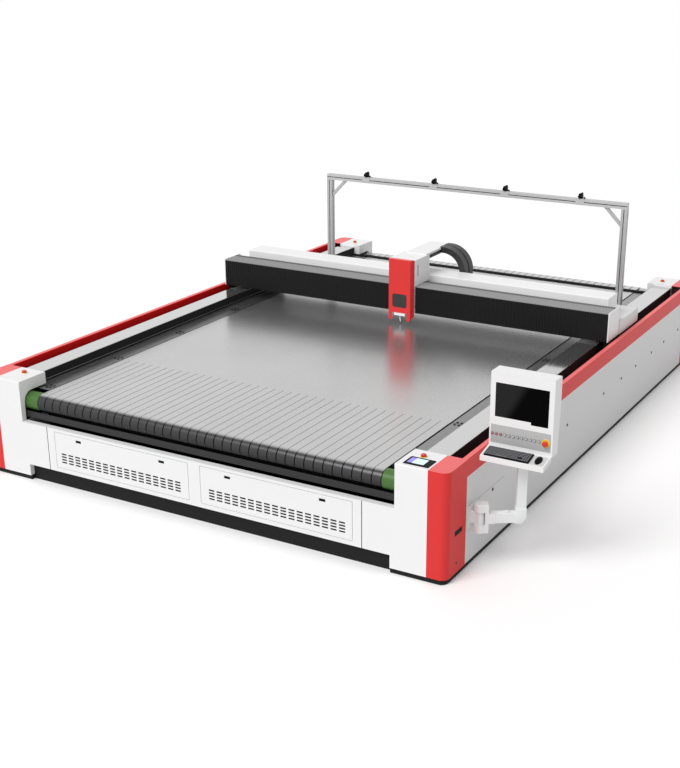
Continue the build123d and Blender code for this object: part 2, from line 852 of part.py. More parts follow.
# Laser tube in two saddle blocks
tube_z = cover_bottom + 12.0 + tube_radius
tube_y = front + cover_front + cover_depth / 2
with BuildPart() as laser_tube:
    with BuildSketch(Plane.YZ.offset(-tube_length / 2)):
        with Locations((tube_y, tube_z)):
            Circle(tube_radius)
            Circle(tube_radius - 5.0, mode=Mode.SUBTRACT)
    extrude(amount=tube_length)
    with Locations((-0.3 * tube_length, tube_y, cover_bottom), (0.3 * tube_length, tube_y, cover_bottom)):
        Box(40.0, 100.0, tube_radius, align=(Align.CENTER, Align.CENTER, Align.MIN))
    with BuildSketch(Plane.YZ.offset(-tube_length / 2)):
        with Locations((tube_y, tube_z)):
            Circle(tube_radius - 5.0)
    extrude(amount=tube_length, mode=Mode.SUBTRACT)
finish(laser_tube, "laser_tube")

# Head plate with four grooved carriages on the beam's rails
with BuildPart() as head_plate:
    cross_box((head_left + 4.0, head_right - 4.0), (plate_front, plate_back), (beam_bottom - 20.0, gantry_top))
    cross_box((head_left + 4.0, head_right - 4.0), (plate_front, head_box_back), (gantry_top - 6.0, gantry_top))
    for rail_z in (rail_middle_z - rail_spacing / 2, rail_middle_z + rail_spacing / 2):
        for block_x in (head_x - 80.0, head_x + 80.0):
            cross_box(
                (block_x - 35.0, block_x + 35.0), (plate_back, beam_front - 2.0), (rail_z - 24.0, rail_z + 24.0)
            )
            cross_box(
                (block_x - 35.0, block_x + 35.0),
                (beam_front - 14.0 - carriage_clearance, beam_front - 2.0),
                (
                    rail_z - rail_size / 2 - carriage_clearance,
                    rail_z + rail_size / 2 + carriage_clearance,
                ),
                mode=Mode.SUBTRACT,
            )
    cross_box(
        (head_x - 60.0, head_x + 60.0), (plate_front - 40.0, plate_front), (head_gap_top - 30.0, head_gap_top + 14.0)
    )
    cross_box(
        (head_x - 60.0, head_x + 60.0), (plate_front - 4.0, plate_front), (head_gap_top, beam_bottom + 14.0)
    )
    with Locations((head_x, front + plate_front - 20.0, head_gap_top)):
        Cylinder(nozzle_radius + nozzle_clearance, 120.0, mode=Mode.SUBTRACT)
finish(head_plate, "head_plate")

# White head housing: a box shell over the beam, open below
with BuildPart() as head_housing:
    cross_box((head_left, head_right), (plate_front, head_box_back), (gantry_top, head_top - 2.0))
    fillet(edges().filter_by(Axis.Y).group_by(Axis.Z)[-1], 8.0)
    cross_box(
        (head_left + sheet, head_right - sheet),
        (plate_front, head_box_back - sheet),
        (gantry_top, head_top - 2.0 - sheet),
        mode=Mode.SUBTRACT,
    )
    cross_box(
        (head_right - sheet, head_right),
        (head_box_back - 250.0, head_box_back - 240.0),
        (head_top - 168.0, head_top - 60.0),
        mode=Mode.SUBTRACT,
    )
finish(head_housing, "head_housing")

# Red front cover: bevelled pan with a window and two legs beside the nozzle gap
with BuildPart() as head_front_cover:
    with BuildSketch(Plane.XY.offset(head_bottom)):
        with BuildLine():
            Polyline(
                (head_left, front + plate_front),
                (head_left + head_bevel, front + head_front),
                (head_right - head_bevel, front + head_front),
                (head_right, front + plate_front),
                close=True,
            )
        make_face()
    extrude(amount=head_top - head_bottom)
    with BuildSketch(Plane.XY.offset(head_bottom)):
        with BuildLine():
            Polyline(
                (head_left + sheet, front + plate_front),
                (head_left + head_bevel + 0.7 * sheet, front + head_front + sheet),
                (head_right - head_bevel - 0.7 * sheet, front + head_front + sheet),
                (head_right - sheet, front + plate_front),
                close=True,
            )
        make_face()
    extrude(amount=head_top - head_bottom - sheet, mode=Mode.SUBTRACT)
    with BuildSketch(at_y(head_front)):
        with Locations((head_x, (window_bottom + window_top) / 2)):
            RectangleRounded(2 * window_half_width, window_top - window_bottom, window_radius)
        with Locations((head_x, head_bottom)):
            Rectangle(2 * head_gap_half_width, head_gap_top - head_bottom, align=(Align.CENTER, Align.MIN))
    extrude(amount=-head_bevel_depth, mode=Mode.SUBTRACT)
    with BuildSketch(at_y(head_front)):
        for side in (-1, 1):
            with BuildLine():
                Polyline(
                    (head_x + side * head_half_width, head_bottom),
                    (head_x + side * (head_half_width - 34.0), head_bottom),
                    (head_x + side * head_half_width, head_bottom + 40.0),
                    close=True,
                )
            make_face()
    extrude(amount=-head_bevel_depth, mode=Mode.SUBTRACT)
finish(head_front_cover, "head_front_cover")

# Smoked window, held in the cover's opening by a rim behind it
with BuildPart() as head_window:
    with BuildSketch(at_y(head_front + 1.0)):
        with Locations((head_x, (window_bottom + window_top) / 2)):
            RectangleRounded(2 * window_half_width, window_top - window_bottom, window_radius)
    extrude(amount=-(sheet - 1.0))
    with BuildSketch(at_y(head_front + sheet)):
        with Locations((head_x, (window_bottom + window_top) / 2)):
            RectangleRounded(2 * window_half_width + 16.0, window_top - window_bottom + 16.0, window_radius)
    extrude(amount=-sheet)
finish(head_window, "head_window")

# Nozzle: tube, focus collar and cone
nozzle_y = front + plate_front - 20.0
with BuildPart() as laser_nozzle:
    with BuildSketch(Plane.XZ.offset(-nozzle_y)):
        with BuildLine():
            Polyline(
                (head_x, head_gap_top + 40.0),
                (head_x + nozzle_radius, head_gap_top + 40.0),
                (head_x + nozzle_radius, head_gap_top - 42.0),
                (head_x + nozzle_radius + 4.0, head_gap_top - 42.0),
                (head_x + nozzle_radius + 4.0, head_gap_top - 56.0),
                (head_x + nozzle_radius - 2.0, head_gap_top - 58.0),
                (head_x + 4.0, nozzle_tip_z),
                (head_x, nozzle_tip_z),
                close=True,
            )
        make_face()
    revolve(axis=Axis((head_x, nozzle_y, 0), (0, 0, 1)))
    with Locations((head_x, nozzle_y, nozzle_tip_z)):
        Cylinder(2.0, 90.0, align=(Align.CENTER, Align.CENTER, Align.MIN), mode=Mode.SUBTRACT)
finish(laser_nozzle, "laser_nozzle")

# Arm from the head housing over the cover: plate with a channel below it
with BuildPart() as chain_arm:
    cross_box((arm_left_x, head_right), (head_box_back, arm_back), (head_top - 8.0, arm_top))
    cross_box((arm_notch_x, head_right), (chain_front - 5.0, arm_back), (head_top - 8.0, arm_top), mode=Mode.SUBTRACT)
    cross_box((arm_left_x, head_right), (head_box_back - 60.0, head_box_back), (head_top - 2.0, arm_top))
    for x in (arm_left_x, head_right - 24.0):
        cross_box((x, x + 24.0), (head_box_back, chain_front - 5.0), (head_top - 45.0, head_top - 8.0))
        cross_box(
            (x + 4.0, x + 20.0),
            (head_box_back, chain_front - 5.0),
            (head_top - 45.0, head_top - 8.0),
            mode=Mode.SUBTRACT,
        )
finish(chain_arm, "chain_arm")

# Energy chain: two tracks of links from the arm, round the bend and into the tray.
# Each link is two side plates and two cross bars. The plates lie in turn in an outer and
# an inner layer, so that they lap the next link's plates at the hinge points.
chain_middle_radius = chain_inner_radius + chain_height / 2
bend_length = pi * chain_middle_radius
link_start = arm_notch_x + 0.3 + link_half - chain_bend_x
links = []
for layer in (0.0, link_plate):
    with BuildPart() as link:
        for plate_y in (layer, chain_width - layer - link_plate):
            with BuildSketch(at_y(-front + plate_y)):
                Rectangle(2 * link_half, chain_height)
                chamfer(vertices(), link_chamfer)
            extrude(amount=-link_plate)
        with BuildSketch(at_y(-front + layer)):
            with GridLocations(1.0, chain_height - 8.0, 1, 2):
                Rectangle(link_bar, 8.0)
        extrude(amount=-(chain_width - 2 * layer))
    links.append(link.part)
link_places = ([], [])
for index in range(link_count):
    travel = link_start + index * link_pitch
    turn = min(travel / chain_middle_radius, pi)
    beyond = max(travel - bend_length, 0.0)
    for track in (0, 1):
        link_x = chain_bend_x + chain_middle_radius * sin(turn) - beyond
        link_y = front + chain_front + track * chain_spacing
        link_z = chain_bend_z + chain_middle_radius * cos(turn)
        link_places[index % 2].append(Location((link_x, link_y, link_z), (0, degrees(turn), 0)))
with BuildPart() as energy_chain:
    for link_part, places in zip(links, link_places):
        with Locations(*places):
            add(link_part)
finish(energy_chain, "energy_chain")

# Camera frame: two slotted profile posts with feet and braces, and a beam across
def profile_section():
    Rectangle(profile_size, profile_size)
    with PolarLocations(profile_size / 2, 4):
        Rectangle(2 * profile_slot, profile_slot, mode=Mode.SUBTRACT)


with BuildPart() as camera_posts:
    with BuildSketch(Plane.XY.offset(deck_top)):
        with Locations((camera_post_x, front + camera_frame_y)):
            profile_section()
    extrude(amount=camera_frame_top - profile_size - deck_top)
    with BuildSketch(Plane.XY.offset(deck_top)):
        with Locations((camera_post_x, front + camera_frame_y)):
            Rectangle(foot_size, foot_size)
            Rectangle(profile_size, profile_size, mode=Mode.SUBTRACT)
    extrude(amount=foot_height)
    brace_x = camera_post_x - profile_size / 2
    beam_underside = camera_frame_top - profile_size
    with BuildSketch(at_y(camera_frame_y - brace_size / 2)):
        with BuildLine():
            Polyline(
                (brace_x, beam_underside - brace_leg),
                (brace_x, beam_underside - brace_leg + 1.414 * brace_size),
                (brace_x - brace_leg + 1.414 * brace_size, beam_underside),
                (brace_x - brace_leg, beam_underside),
                close=True,
            )
        make_face()
    extrude(amount=-brace_size)
    mirror(about=Plane.YZ)
finish(camera_posts, "camera_posts")

with BuildPart() as camera_beam:
    beam_half = camera_post_x + profile_size / 2
    with BuildSketch(Plane.YZ.offset(-beam_half)):
        with Locations((front + camera_frame_y, camera_frame_top - profile_size / 2)):
            profile_section()
    extrude(amount=2 * beam_half)
finish(camera_beam, "camera_beam")

# Camera brackets: angle plates over the beam's front and top
camera_places = [-camera_x[1], -camera_x[0], camera_x[0], camera_x[1]]
with BuildPart() as camera_brackets:
    for x in camera_places:
        cross_box(
            (x - camera_bracket_width / 2, x + camera_bracket_width / 2),
            (camera_frame_y - profile_size / 2 - sheet, camera_frame_y - profile_size / 2),
            (camera_frame_top - 50.0, camera_frame_top + sheet),
        )
        cross_box(
            (x - camera_bracket_width / 2, x + camera_bracket_width / 2),
            (camera_frame_y - profile_size / 2, camera_frame_y + profile_size / 2),
            (camera_frame_top, camera_frame_top + sheet),
        )
finish(camera_brackets, "camera_brackets")

# Cameras: square bodies that look down and forward past the beam
with BuildPart() as cameras:
    for x in camera_places:
        cross_box(
            (x - camera_width / 2, x + camera_width / 2),
            (camera_frame_y - camera_depth / 2, camera_frame_y + camera_depth / 2),
            (camera_frame_top + sheet, camera_frame_top + sheet + camera_height),
        )
        with BuildSketch(at_y(camera_frame_y - camera_depth / 2)):
            with Locations((x, camera_frame_top + sheet + camera_height / 2)):
                Circle(lens_radius)
        extrude(amount=26.0)
finish(cameras, "cameras")

# Touch panel on the right front post
with BuildPart() as touch_panel:
    cross_box(
        (touch_panel_x - touch_panel_width / 2, touch_panel_x + touch_panel_width / 2),
        (touch_panel_y - touch_panel_depth / 2, touch_panel_y + touch_panel_depth / 2),
        (body_height, body_height + touch_panel_height),
    )
    chamfer(edges().group_by(Axis.Z)[-1], 3.0)
    cross_box(
        (touch_screen_x - touch_screen_width / 2, touch_screen_x + touch_screen_width / 2),
        (touch_panel_y - touch_screen_depth / 2, touch_panel_y + touch_screen_depth / 2),
        (body_height + touch_panel_height - touch_screen_sink, body_height + touch_panel_height),
        mode=Mode.SUBTRACT,
    )
finish(touch_panel, "touch_panel")

# Console wall bracket: plate with a tongue and the swing pin
tongue_z = (tongue_bottom + tongue_top) / 2
with BuildPart() as console_bracket:
    cross_box((panel_face_x, half_width + 12.0), (swing_y - 55.0, swing_y + 55.0), (tongue_z - 82.0, tongue_z + 82.0))
    with BuildSketch(Plane.XY.offset(tongue_bottom)):
        with Locations((half_width + 12.0, front + swing_y)):
            Rectangle(swing_x - half_width - 12.0, 44.0, align=(Align.MIN, Align.CENTER))
        with Locations((swing_x, front + swing_y)):
            Circle(30.0)
    extrude(amount=tongue_top - tongue_bottom)
    with BuildSketch(Plane.XY.offset(knuckle_bottom + 10.0)):
        with Locations((swing_x, front + swing_y)):
            Circle(swing_pin_radius)
    extrude(amount=knuckle_top - knuckle_bottom - 20.0)
finish(console_bracket, "console_bracket")

# Swing arm: knuckle, horizontal tube, elbow and mast
knuckle_plane = Plane(
    origin=(swing_x, front + swing_y, arm_height),
    x_dir=(0, 0, 1),
    z_dir=(cos(radians(swing_angle)), sin(radians(swing_angle)), 0),
)
arm_plan = Plane(
    origin=(swing_x, front + swing_y, 0),
    x_dir=(cos(radians(swing_angle)), sin(radians(swing_angle)), 0),
    z_dir=(0, 0, 1),
)
with BuildPart() as console_arm:
    with BuildSketch(arm_plan.offset(knuckle_bottom)):
        Circle(knuckle_radius)
        with Locations((knuckle_radius / 2, 0)):
            Rectangle(knuckle_radius + 24.0, 2 * knuckle_radius - 14.0)
    extrude(amount=knuckle_top - knuckle_bottom)
    chamfer(faces().sort_by(Axis.Z)[-1].edges(), 8.0)
    with BuildSketch(arm_plan.offset(tongue_bottom - 0.5)):
        with Locations((-knuckle_radius, 0)):
            Rectangle(knuckle_radius + 32.5, 2 * knuckle_radius + 4.0, align=(Align.MIN, Align.CENTER))
        with Locations((-knuckle_radius, 0)):
            Rectangle(10.0, 2 * knuckle_radius, align=(Align.CENTER, Align.CENTER))
    extrude(amount=tongue_top - tongue_bottom + 1.0, mode=Mode.SUBTRACT)
    with BuildSketch(arm_plan.offset(knuckle_bottom + 9.5)):
        Circle(swing_pin_radius + swing_clearance)
    extrude(amount=knuckle_top - knuckle_bottom - 19.0, mode=Mode.SUBTRACT)
    with BuildSketch(knuckle_plane.offset(knuckle_radius)):
        Rectangle(arm_size, arm_size)
        Rectangle(arm_size - 2 * arm_wall, arm_size - 2 * arm_wall, mode=Mode.SUBTRACT)
    extrude(amount=swing_reach - knuckle_radius - arm_size / 2)
    with BuildSketch(knuckle_plane.offset(knuckle_radius + 12.0)):
        Rectangle(arm_size + 8.0, arm_size + 8.0)
        Rectangle(arm_size, arm_size, mode=Mode.SUBTRACT)
    extrude(amount=46.0)
    with BuildSketch(
        Plane(
            origin=(mast_x, front + mast_y, arm_height),
            x_dir=(cos(radians(swing_angle)), sin(radians(swing_angle)), 0),
            z_dir=(sin(radians(swing_angle)), -cos(radians(swing_angle)), 0),
        ).offset(-arm_size / 2)
    ):
        with BuildLine():
            Polyline(
                (-arm_size / 2, -arm_size / 2),
                (0, -arm_size / 2),
                (arm_size / 2, 0),
                (arm_size / 2, arm_size),
                (-arm_size / 2, arm_size),
                close=True,
            )
        make_face()
    extrude(amount=arm_size)
    with BuildSketch(
        Plane(
            origin=(mast_x, front + mast_y, arm_height + arm_size),
            x_dir=(cos(radians(swing_angle)), sin(radians(swing_angle)), 0),
            z_dir=(0, 0, 1),
        )
    ):
        Rectangle(arm_size, arm_size)
        Rectangle(arm_size - 2 * arm_wall, arm_size - 2 * arm_wall, mode=Mode.SUBTRACT)
    extrude(amount=console_bottom - 26.0 - arm_height - arm_size)
    with Locations((mast_x, front + mast_y, console_bottom - 26.0)):
        Cylinder(arm_size / 2 + 6.0, 12.0, align=(Align.CENTER, Align.CENTER, Align.MIN))
    with Locations((mast_x, front + mast_y, console_bottom - 14.0)):
        Cylinder(20.0, 30.0, align=(Align.CENTER, Align.CENTER, Align.MIN))
finish(console_arm, "console_arm")

# Console housing: tapered cabinet with the keyboard tray
with BuildPart() as console_housing:
    with BuildSketch(Plane.YZ.offset(console_left)):
        with BuildLine():
            Polyline(
                (front + console_front, console_bottom),
                (front + console_front, console_top),
                (front + console_front + console_top_depth, console_top),
                (front + console_front + console_top_depth, console_top - 260.0),
                (front + mast_y + 56.0, console_bottom + 60.0),
                (front + mast_y + 56.0, console_bottom - 13.0),
                (front + console_front, console_bottom - 13.0),
                close=True,
            )
        make_face()
    extrude(amount=console_width)
    fillet(edges().filter_by(Axis.Y).group_by(Axis.Z)[-1], 10.0)
    with BuildSketch(Plane.YZ.offset(console_left)):
        with BuildLine():
            Polyline(
                (front + tray_front, tray_bottom),
                (front + tray_front, tray_lip_top),
                (front + console_front, tray_lip_top + tray_rise),
                (front + console_front, console_bottom - 13.0),
                (front + console_front - 20.0, console_bottom - 40.0),
                close=True,
            )
        make_face()
    extrude(amount=console_width)
    tray_plane = Plane(
        origin=(console_x, front + tray_front, tray_lip_top),
        x_dir=(1, 0, 0),
        z_dir=(0, -sin(radians(tray_slope)), cos(radians(tray_slope))),
    )
    with BuildSketch(tray_plane):
        with Locations((0, tray_rim)):
            Rectangle(
                console_width - 2 * tray_rim,
                hypot(tray_rise, console_front - tray_front) - tray_rim - 2.0,
                align=(Align.CENTER, Align.MIN),
            )
    extrude(amount=-tray_pocket, mode=Mode.SUBTRACT)
    with BuildSketch(at_y(console_front)):
        with Locations((console_x, (screen_bottom + screen_top) / 2)):
            Rectangle(screen_width, screen_top - screen_bottom)
        with Locations((console_x + screen_width / 2, screen_bottom)):
            Rectangle(screen_width * 0.32, screen_step, align=(Align.MAX, Align.MAX))
        with Locations((console_x, (button_panel_bottom + button_panel_top) / 2)):
            Rectangle(button_panel_width, button_panel_top - button_panel_bottom)
    extrude(amount=-3.0, mode=Mode.SUBTRACT)
    with BuildSketch(at_y(console_front + 3.0)):
        with Locations((console_x - 38.0, console_stop_z + 3.0)):
            with GridLocations(32.0, 1.0, button_count, 1):
                RegularPolygon(button_radius, 12)
    extrude(amount=8.0)
    with BuildSketch(at_y(console_front + 3.0)):
        with Locations((console_stop_x, console_stop_z)):
            Circle(30.0)
    extrude(amount=6.0)
    with BuildSketch(at_y(console_front - 3.0)):
        with Locations((console_stop_x, console_stop_z)):
            Circle(stop_neck_radius + stop_clearance)
    extrude(amount=-36.0, mode=Mode.SUBTRACT)
    with Locations((mast_x, front + mast_y, console_bottom - 13.5)):
        Cylinder(20.06, 30.0, align=(Align.CENTER, Align.CENTER, Align.MIN), mode=Mode.SUBTRACT)
finish(console_housing, "console_housing")

with BuildPart() as console_screen:
    with BuildSketch(at_y(console_front + 3.0)):
        with Locations((console_x, (screen_bottom + screen_top) / 2)):
            Rectangle(screen_width, screen_top - screen_bottom)
        with Locations((console_x + screen_width / 2, screen_bottom)):
            Rectangle(screen_width * 0.32, screen_step, align=(Align.MAX, Align.MAX))
    extrude(amount=2.5)
finish(console_screen, "console_screen")

# Keyboard and mouse that lie in the tray
keyboard_plane = tray_plane.offset(-tray_pocket)
with BuildPart() as keyboard_and_mouse:
    with BuildSketch(keyboard_plane):
        with Locations((-50.0, 76.0)):
            Rectangle(keyboard_width, keyboard_depth)
    extrude(amount=keyboard_height)
    with BuildSketch(keyboard_plane.offset(keyboard_height)):
        with Locations((-50.0, 76.0)):
            with GridLocations(1.0, 21.0, 1, 5):
                Rectangle(keyboard_width - 12.0, 18.0)
    extrude(amount=3.0)
    with BuildSketch(keyboard_plane):
        with Locations((172.0, 78.0)):
            Ellipse(30.0, 52.0)
    with BuildSketch(keyboard_plane.offset(24.0)):
        with Locations((172.0, 74.0)):
            Ellipse(20.0, 34.0)
    loft()
finish(keyboard_and_mouse, "keyboard_and_mouse")

# Emergency stops: a domed cap on a straight neck, four on the posts and one on the console
stops = [
    (
        "console_estop",
        Plane((console_stop_x, front + console_front - 3.0, console_stop_z), x_dir=(1, 0, 0), z_dir=(0, -1, 0)),
    )
]
for side, side_name in ((-1, "left"), (1, "right")):
    for end, end_name in ((-1, "front"), (1, "rear")):
        stops.append(
            (
                f"estop_{end_name}_{side_name}",
                Plane((side * stop_post_x, end * (rear - stop_front_y), body_height)),
            )
        )
for name, stop_plane in stops:
    with BuildPart() as stop:
        with BuildSketch(stop_plane.offset(-stop_neck_depth)):
            Circle(stop_neck_radius)
        extrude(amount=stop_neck_depth + stop_lift)
        with BuildSketch(stop_plane.offset(stop_lift)):
            Circle(stop_radius)
        extrude(amount=stop_cap_height)
        chamfer(faces().filter_by(GeomType.PLANE).sort_by(Axis(stop_plane.origin, stop_plane.z_dir))[-1].edges(), 5.0)
    finish(stop, name)
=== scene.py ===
import math

import bmesh
import bpy
from mathutils import Matrix, Vector


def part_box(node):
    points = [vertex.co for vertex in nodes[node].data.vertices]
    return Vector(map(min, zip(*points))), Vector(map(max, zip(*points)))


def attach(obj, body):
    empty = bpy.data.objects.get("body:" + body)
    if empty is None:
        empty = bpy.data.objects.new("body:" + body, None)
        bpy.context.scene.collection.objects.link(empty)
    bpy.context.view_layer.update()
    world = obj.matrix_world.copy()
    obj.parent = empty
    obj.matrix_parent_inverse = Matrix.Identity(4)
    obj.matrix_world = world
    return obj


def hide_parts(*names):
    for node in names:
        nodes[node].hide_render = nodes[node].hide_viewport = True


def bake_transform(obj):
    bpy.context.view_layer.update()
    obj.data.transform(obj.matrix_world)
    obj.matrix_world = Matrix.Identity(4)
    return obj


# Looks of a vision laser cutting machine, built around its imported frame.
# Metres throughout, front of the machine towards -y, floor at z = 0.
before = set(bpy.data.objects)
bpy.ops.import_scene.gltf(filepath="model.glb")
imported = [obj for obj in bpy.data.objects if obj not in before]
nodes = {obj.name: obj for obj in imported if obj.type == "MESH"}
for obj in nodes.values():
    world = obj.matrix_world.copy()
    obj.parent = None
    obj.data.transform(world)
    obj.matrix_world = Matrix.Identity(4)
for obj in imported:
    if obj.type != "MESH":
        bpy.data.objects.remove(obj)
scene = bpy.context.scene
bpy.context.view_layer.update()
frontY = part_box("front_panel")[0].y
print("frame loaded:", len(nodes), "nodes")


def toLinear(hexText):
    # sRGB hex to the linear colour that the shaders take
    linear = []
    for start in (1, 3, 5):
        share = int(hexText[start:start + 2], 16) / 255
        linear.append(share / 12.92 if share <= 0.04045 else ((share + 0.055) / 1.055) ** 2.4)
    return (*linear, 1.0)


def fromFront(distance):
    # y of a distance in millimetres behind the machine's front face
    return frontY + distance / 1000


def spanBehind(distances):
    return [fromFront(distance) for distance in distances]


# Camera, at the photograph's viewing angle
cameraSetup = {
    "right": (0.8718, 0.4898, 0.0001),
    "up": (-0.1762, 0.3133, 0.9332),
    "back": (0.4571, -0.8136, 0.3595),
    "place": (5.5893, -10.1795, 4.2867),
    "lens": 59.72,
    "shift": (-0.0370, 0.0542),
}
cameraData = bpy.data.cameras.new("photoCamera")
cameraData.lens = cameraSetup["lens"]
cameraData.sensor_width = 36.0
cameraData.shift_x, cameraData.shift_y = cameraSetup["shift"]
cameraData.clip_end = 200.0
camera = bpy.data.objects.new("photoCamera", cameraData)
cameraAxes = [Vector(cameraSetup[key]).normalized() for key in ("right", "up", "back")]
camera.matrix_world = (
    Matrix.Translation(cameraSetup["place"]) @ Matrix(cameraAxes).transposed().to_4x4()
)
scene.collection.objects.link(camera)
scene.camera = camera
scene.view_settings.view_transform = "Standard"


def addNode(tree, kind, settings=None, links=None):
    # one node, its settings, and a value or another node's output for each socket
    made = tree.nodes.new(kind)
    for key, value in (settings or {}).items():
        setattr(made, key, value)
    for socket, source in (links or {}).items():
        if isinstance(source, bpy.types.NodeSocket):
            tree.links.new(source, made.inputs[socket])
        else:
            made.inputs[socket].default_value = source
    return made


# Settings that many nodes share
colourMix = {"data_type": "RGBA"}
softStep = {"interpolation_type": "SMOOTHSTEP"}


def startFinish(name, sockets):
    # material with one shader, whose even values sit on its own sockets
    material = bpy.data.materials.new(name)
    material.use_nodes = True
    tree = material.node_tree
    tree.nodes.clear()
    shader = addNode(tree, "ShaderNodeBsdfPrincipled", links=sockets)
    addNode(tree, "ShaderNodeOutputMaterial", links={"Surface": shader.outputs[0]})
    place = addNode(tree, "ShaderNodeTexCoord").outputs["Object"]
    return material, tree, shader, place


def bindSurface(tree, shader, tone, rough, bump=None):
    tree.links.new(tone.outputs[2], shader.inputs["Base Color"])
    tree.links.new(rough.outputs[0], shader.inputs["Roughness"])
    if bump:
        tree.links.new(bump.outputs[0], shader.inputs["Normal"])


def seenDirectly(tree):
    # 1 where the camera, a reflection or a see-through piece shows the background
    path = addNode(tree, "ShaderNodeLightPath")
    seen = addNode(
        tree, "ShaderNodeMath", {"operation": "ADD"},
        {0: path.outputs["Is Camera Ray"], 1: path.outputs["Is Glossy Ray"]}
    )
    seen = addNode(
        tree, "ShaderNodeMath", {"operation": "ADD", "use_clamp": True},
        {0: seen.outputs[0], 1: path.outputs["Is Transmission Ray"]}
    )
    return seen.outputs[0]


# Studio: one soft sun from the front left, even room light, white ground
studio = {
    "sunDirection": (-0.20, -0.64, 0.75),  # towards the lamp
    "sunStrength": 1.95,
    "sunAngle": 34.0,
    "room": 0.55,
    "floorGlow": 0.04,
    "floorColour": "#FBFBFB",
    "floorBounce": 0.75,  # how much of the light the floor throws back at the machine
    "floorHalf": 60,
}
sunData = bpy.data.lights.new("studioSun", "SUN")
sunData.energy = studio["sunStrength"]
sunData.angle = math.radians(studio["sunAngle"])
sun = bpy.data.objects.new("studioSun", sunData)
sun.rotation_mode = "QUATERNION"
sun.rotation_quaternion = Vector(studio["sunDirection"]).to_track_quat("Z", "Y")
scene.collection.objects.link(sun)

room = bpy.data.worlds.new("studioRoom")
room.use_nodes = True
room.node_tree.nodes.clear()
scene.world = room
roomLight = addNode(room.node_tree, "ShaderNodeBackground", links={"Color": (1, 1, 1, 1), "Strength": studio["room"]})
whiteBack = addNode(room.node_tree, "ShaderNodeBackground", links={"Color": (1, 1, 1, 1), "Strength": 1.0})
roomMix = addNode(
    room.node_tree, "ShaderNodeMixShader",
    links={0: seenDirectly(room.node_tree), 1: roomLight.outputs[0], 2: whiteBack.outputs[0]}
)
addNode(room.node_tree, "ShaderNodeOutputWorld", links={"Surface": roomMix.outputs[0]})

floorMesh = bpy.data.meshes.new("studioFloor")
half = studio["floorHalf"]
floorMesh.from_pydata([(-half, -half, 0), (half, -half, 0), (half, half, 0), (-half, half, 0)], [], [(0, 1, 2, 3)])
floor = bpy.data.objects.new("studioFloor", floorMesh)
scene.collection.objects.link(floor)
paper = bpy.data.materials.new("paintedStudioFloor")  # matt white paint, which keeps the soft shadow
paper.use_nodes = True
paper.node_tree.nodes.clear()
plain = addNode(paper.node_tree, "ShaderNodeBsdfDiffuse", links={"Color": (*[studio["floorBounce"]] * 3, 1)})
matt = addNode(paper.node_tree, "ShaderNodeBsdfDiffuse", links={"Color": toLinear(studio["floorColour"])})
glow = addNode(paper.node_tree, "ShaderNodeEmission", links={"Color": (1, 1, 1, 1), "Strength": studio["floorGlow"]})
lit = addNode(paper.node_tree, "ShaderNodeAddShader", links={0: matt.outputs[0], 1: glow.outputs[0]})
floorMix = addNode(
    paper.node_tree, "ShaderNodeMixShader",
    links={0: seenDirectly(paper.node_tree), 1: plain.outputs[0], 2: lit.outputs[0]}
)
addNode(paper.node_tree, "ShaderNodeOutputMaterial", links={"Surface": floorMix.outputs[0]})
floorMesh.materials.append(paper)
print("studio set")


def powderCoat(name, coat):
    # Polyester powder baked on sheet steel: satin, with a faint orange peel. The real
    # peel is about 2 mm across, drawn at coat["peel"] mm so that it shows from here.
    material, tree, shader, place = startFinish(
        name, sockets={"IOR": 1.5, "Specular IOR Level": coat.get("gloss", 0.5)}
    )
    peel = addNode(tree, "ShaderNodeTexNoise", links={"Vector": place, "Scale": 1000 / coat["peel"], "Detail": 2.0})
    cloud = addNode(
        tree, "ShaderNodeTexNoise", links={"Vector": place, "Scale": 0.9, "Detail": 3.0, "Roughness": 0.6}
    )
    tone = addNode(
        tree, "ShaderNodeMix", colourMix,
        {0: cloud.outputs["Fac"], 6: toLinear(coat["colour"]), 7: toLinear(coat["shade"])}
    )
    rough = addNode(
        tree, "ShaderNodeMapRange",
        links={
            "Value": peel.outputs["Fac"], "From Min": 0.3, "From Max": 0.7, "To Min": coat["rough"] - 0.02,
            "To Max": coat["rough"] + 0.03
        }
    )
    bump = addNode(
        tree, "ShaderNodeBump", links={"Height": peel.outputs["Fac"], "Strength": 0.05, "Distance": 0.0004}
    )
    if "paintedTopSheen" in coat:  # faces that look up are painted lighter and pinker: a painted sheen of the bright room on the tops
        facing = addNode(
            tree, "ShaderNodeSeparateXYZ", links={"Vector": addNode(tree, "ShaderNodeNewGeometry").outputs["Normal"]}
        )
        upward = addNode(
            tree, "ShaderNodeMapRange", links={"Value": facing.outputs["Z"], "From Min": 0.75, "From Max": 0.98}
        )
        tone = addNode(
            tree, "ShaderNodeMix", colourMix, {0: upward.outputs[0], 6: tone.outputs[2], 7: toLinear(coat["paintedTopSheen"])}
        )
    if "paintedInnerLight" in coat:  # used with the top sheen: the inner faces of the side bands are painted a brighter red, painted light on faces that stand in shade
        across = addNode(tree, "ShaderNodeSeparateXYZ", links={"Vector": place})
        inward = addNode(
            tree, "ShaderNodeMath", {"operation": "MULTIPLY"}, {0: facing.outputs["X"], 1: across.outputs["X"]}
        )
        inward = addNode(
            tree, "ShaderNodeMath", {"operation": "LESS_THAN"}, {0: inward.outputs[0], 1: coat["inwardFrom"]}
        )
        tone = addNode(
            tree, "ShaderNodeMix", colourMix,
            {0: inward.outputs[0], 6: tone.outputs[2], 7: toLinear(coat["paintedInnerLight"])}
        )
    if "below" in coat:  # second colour under a height, as a masked spray job
        axes = addNode(tree, "ShaderNodeSeparateXYZ", links={"Vector": place})
        under = addNode(tree, "ShaderNodeMath", {"operation": "LESS_THAN"}, {0: axes.outputs["Z"], 1: coat["below"]})
        tone = addNode(
            tree, "ShaderNodeMix", colourMix, {0: under.outputs[0], 6: tone.outputs[2], 7: toLinear(coat["lower"])}
        )
    bindSurface(tree, shader, tone, rough, bump)
    return material


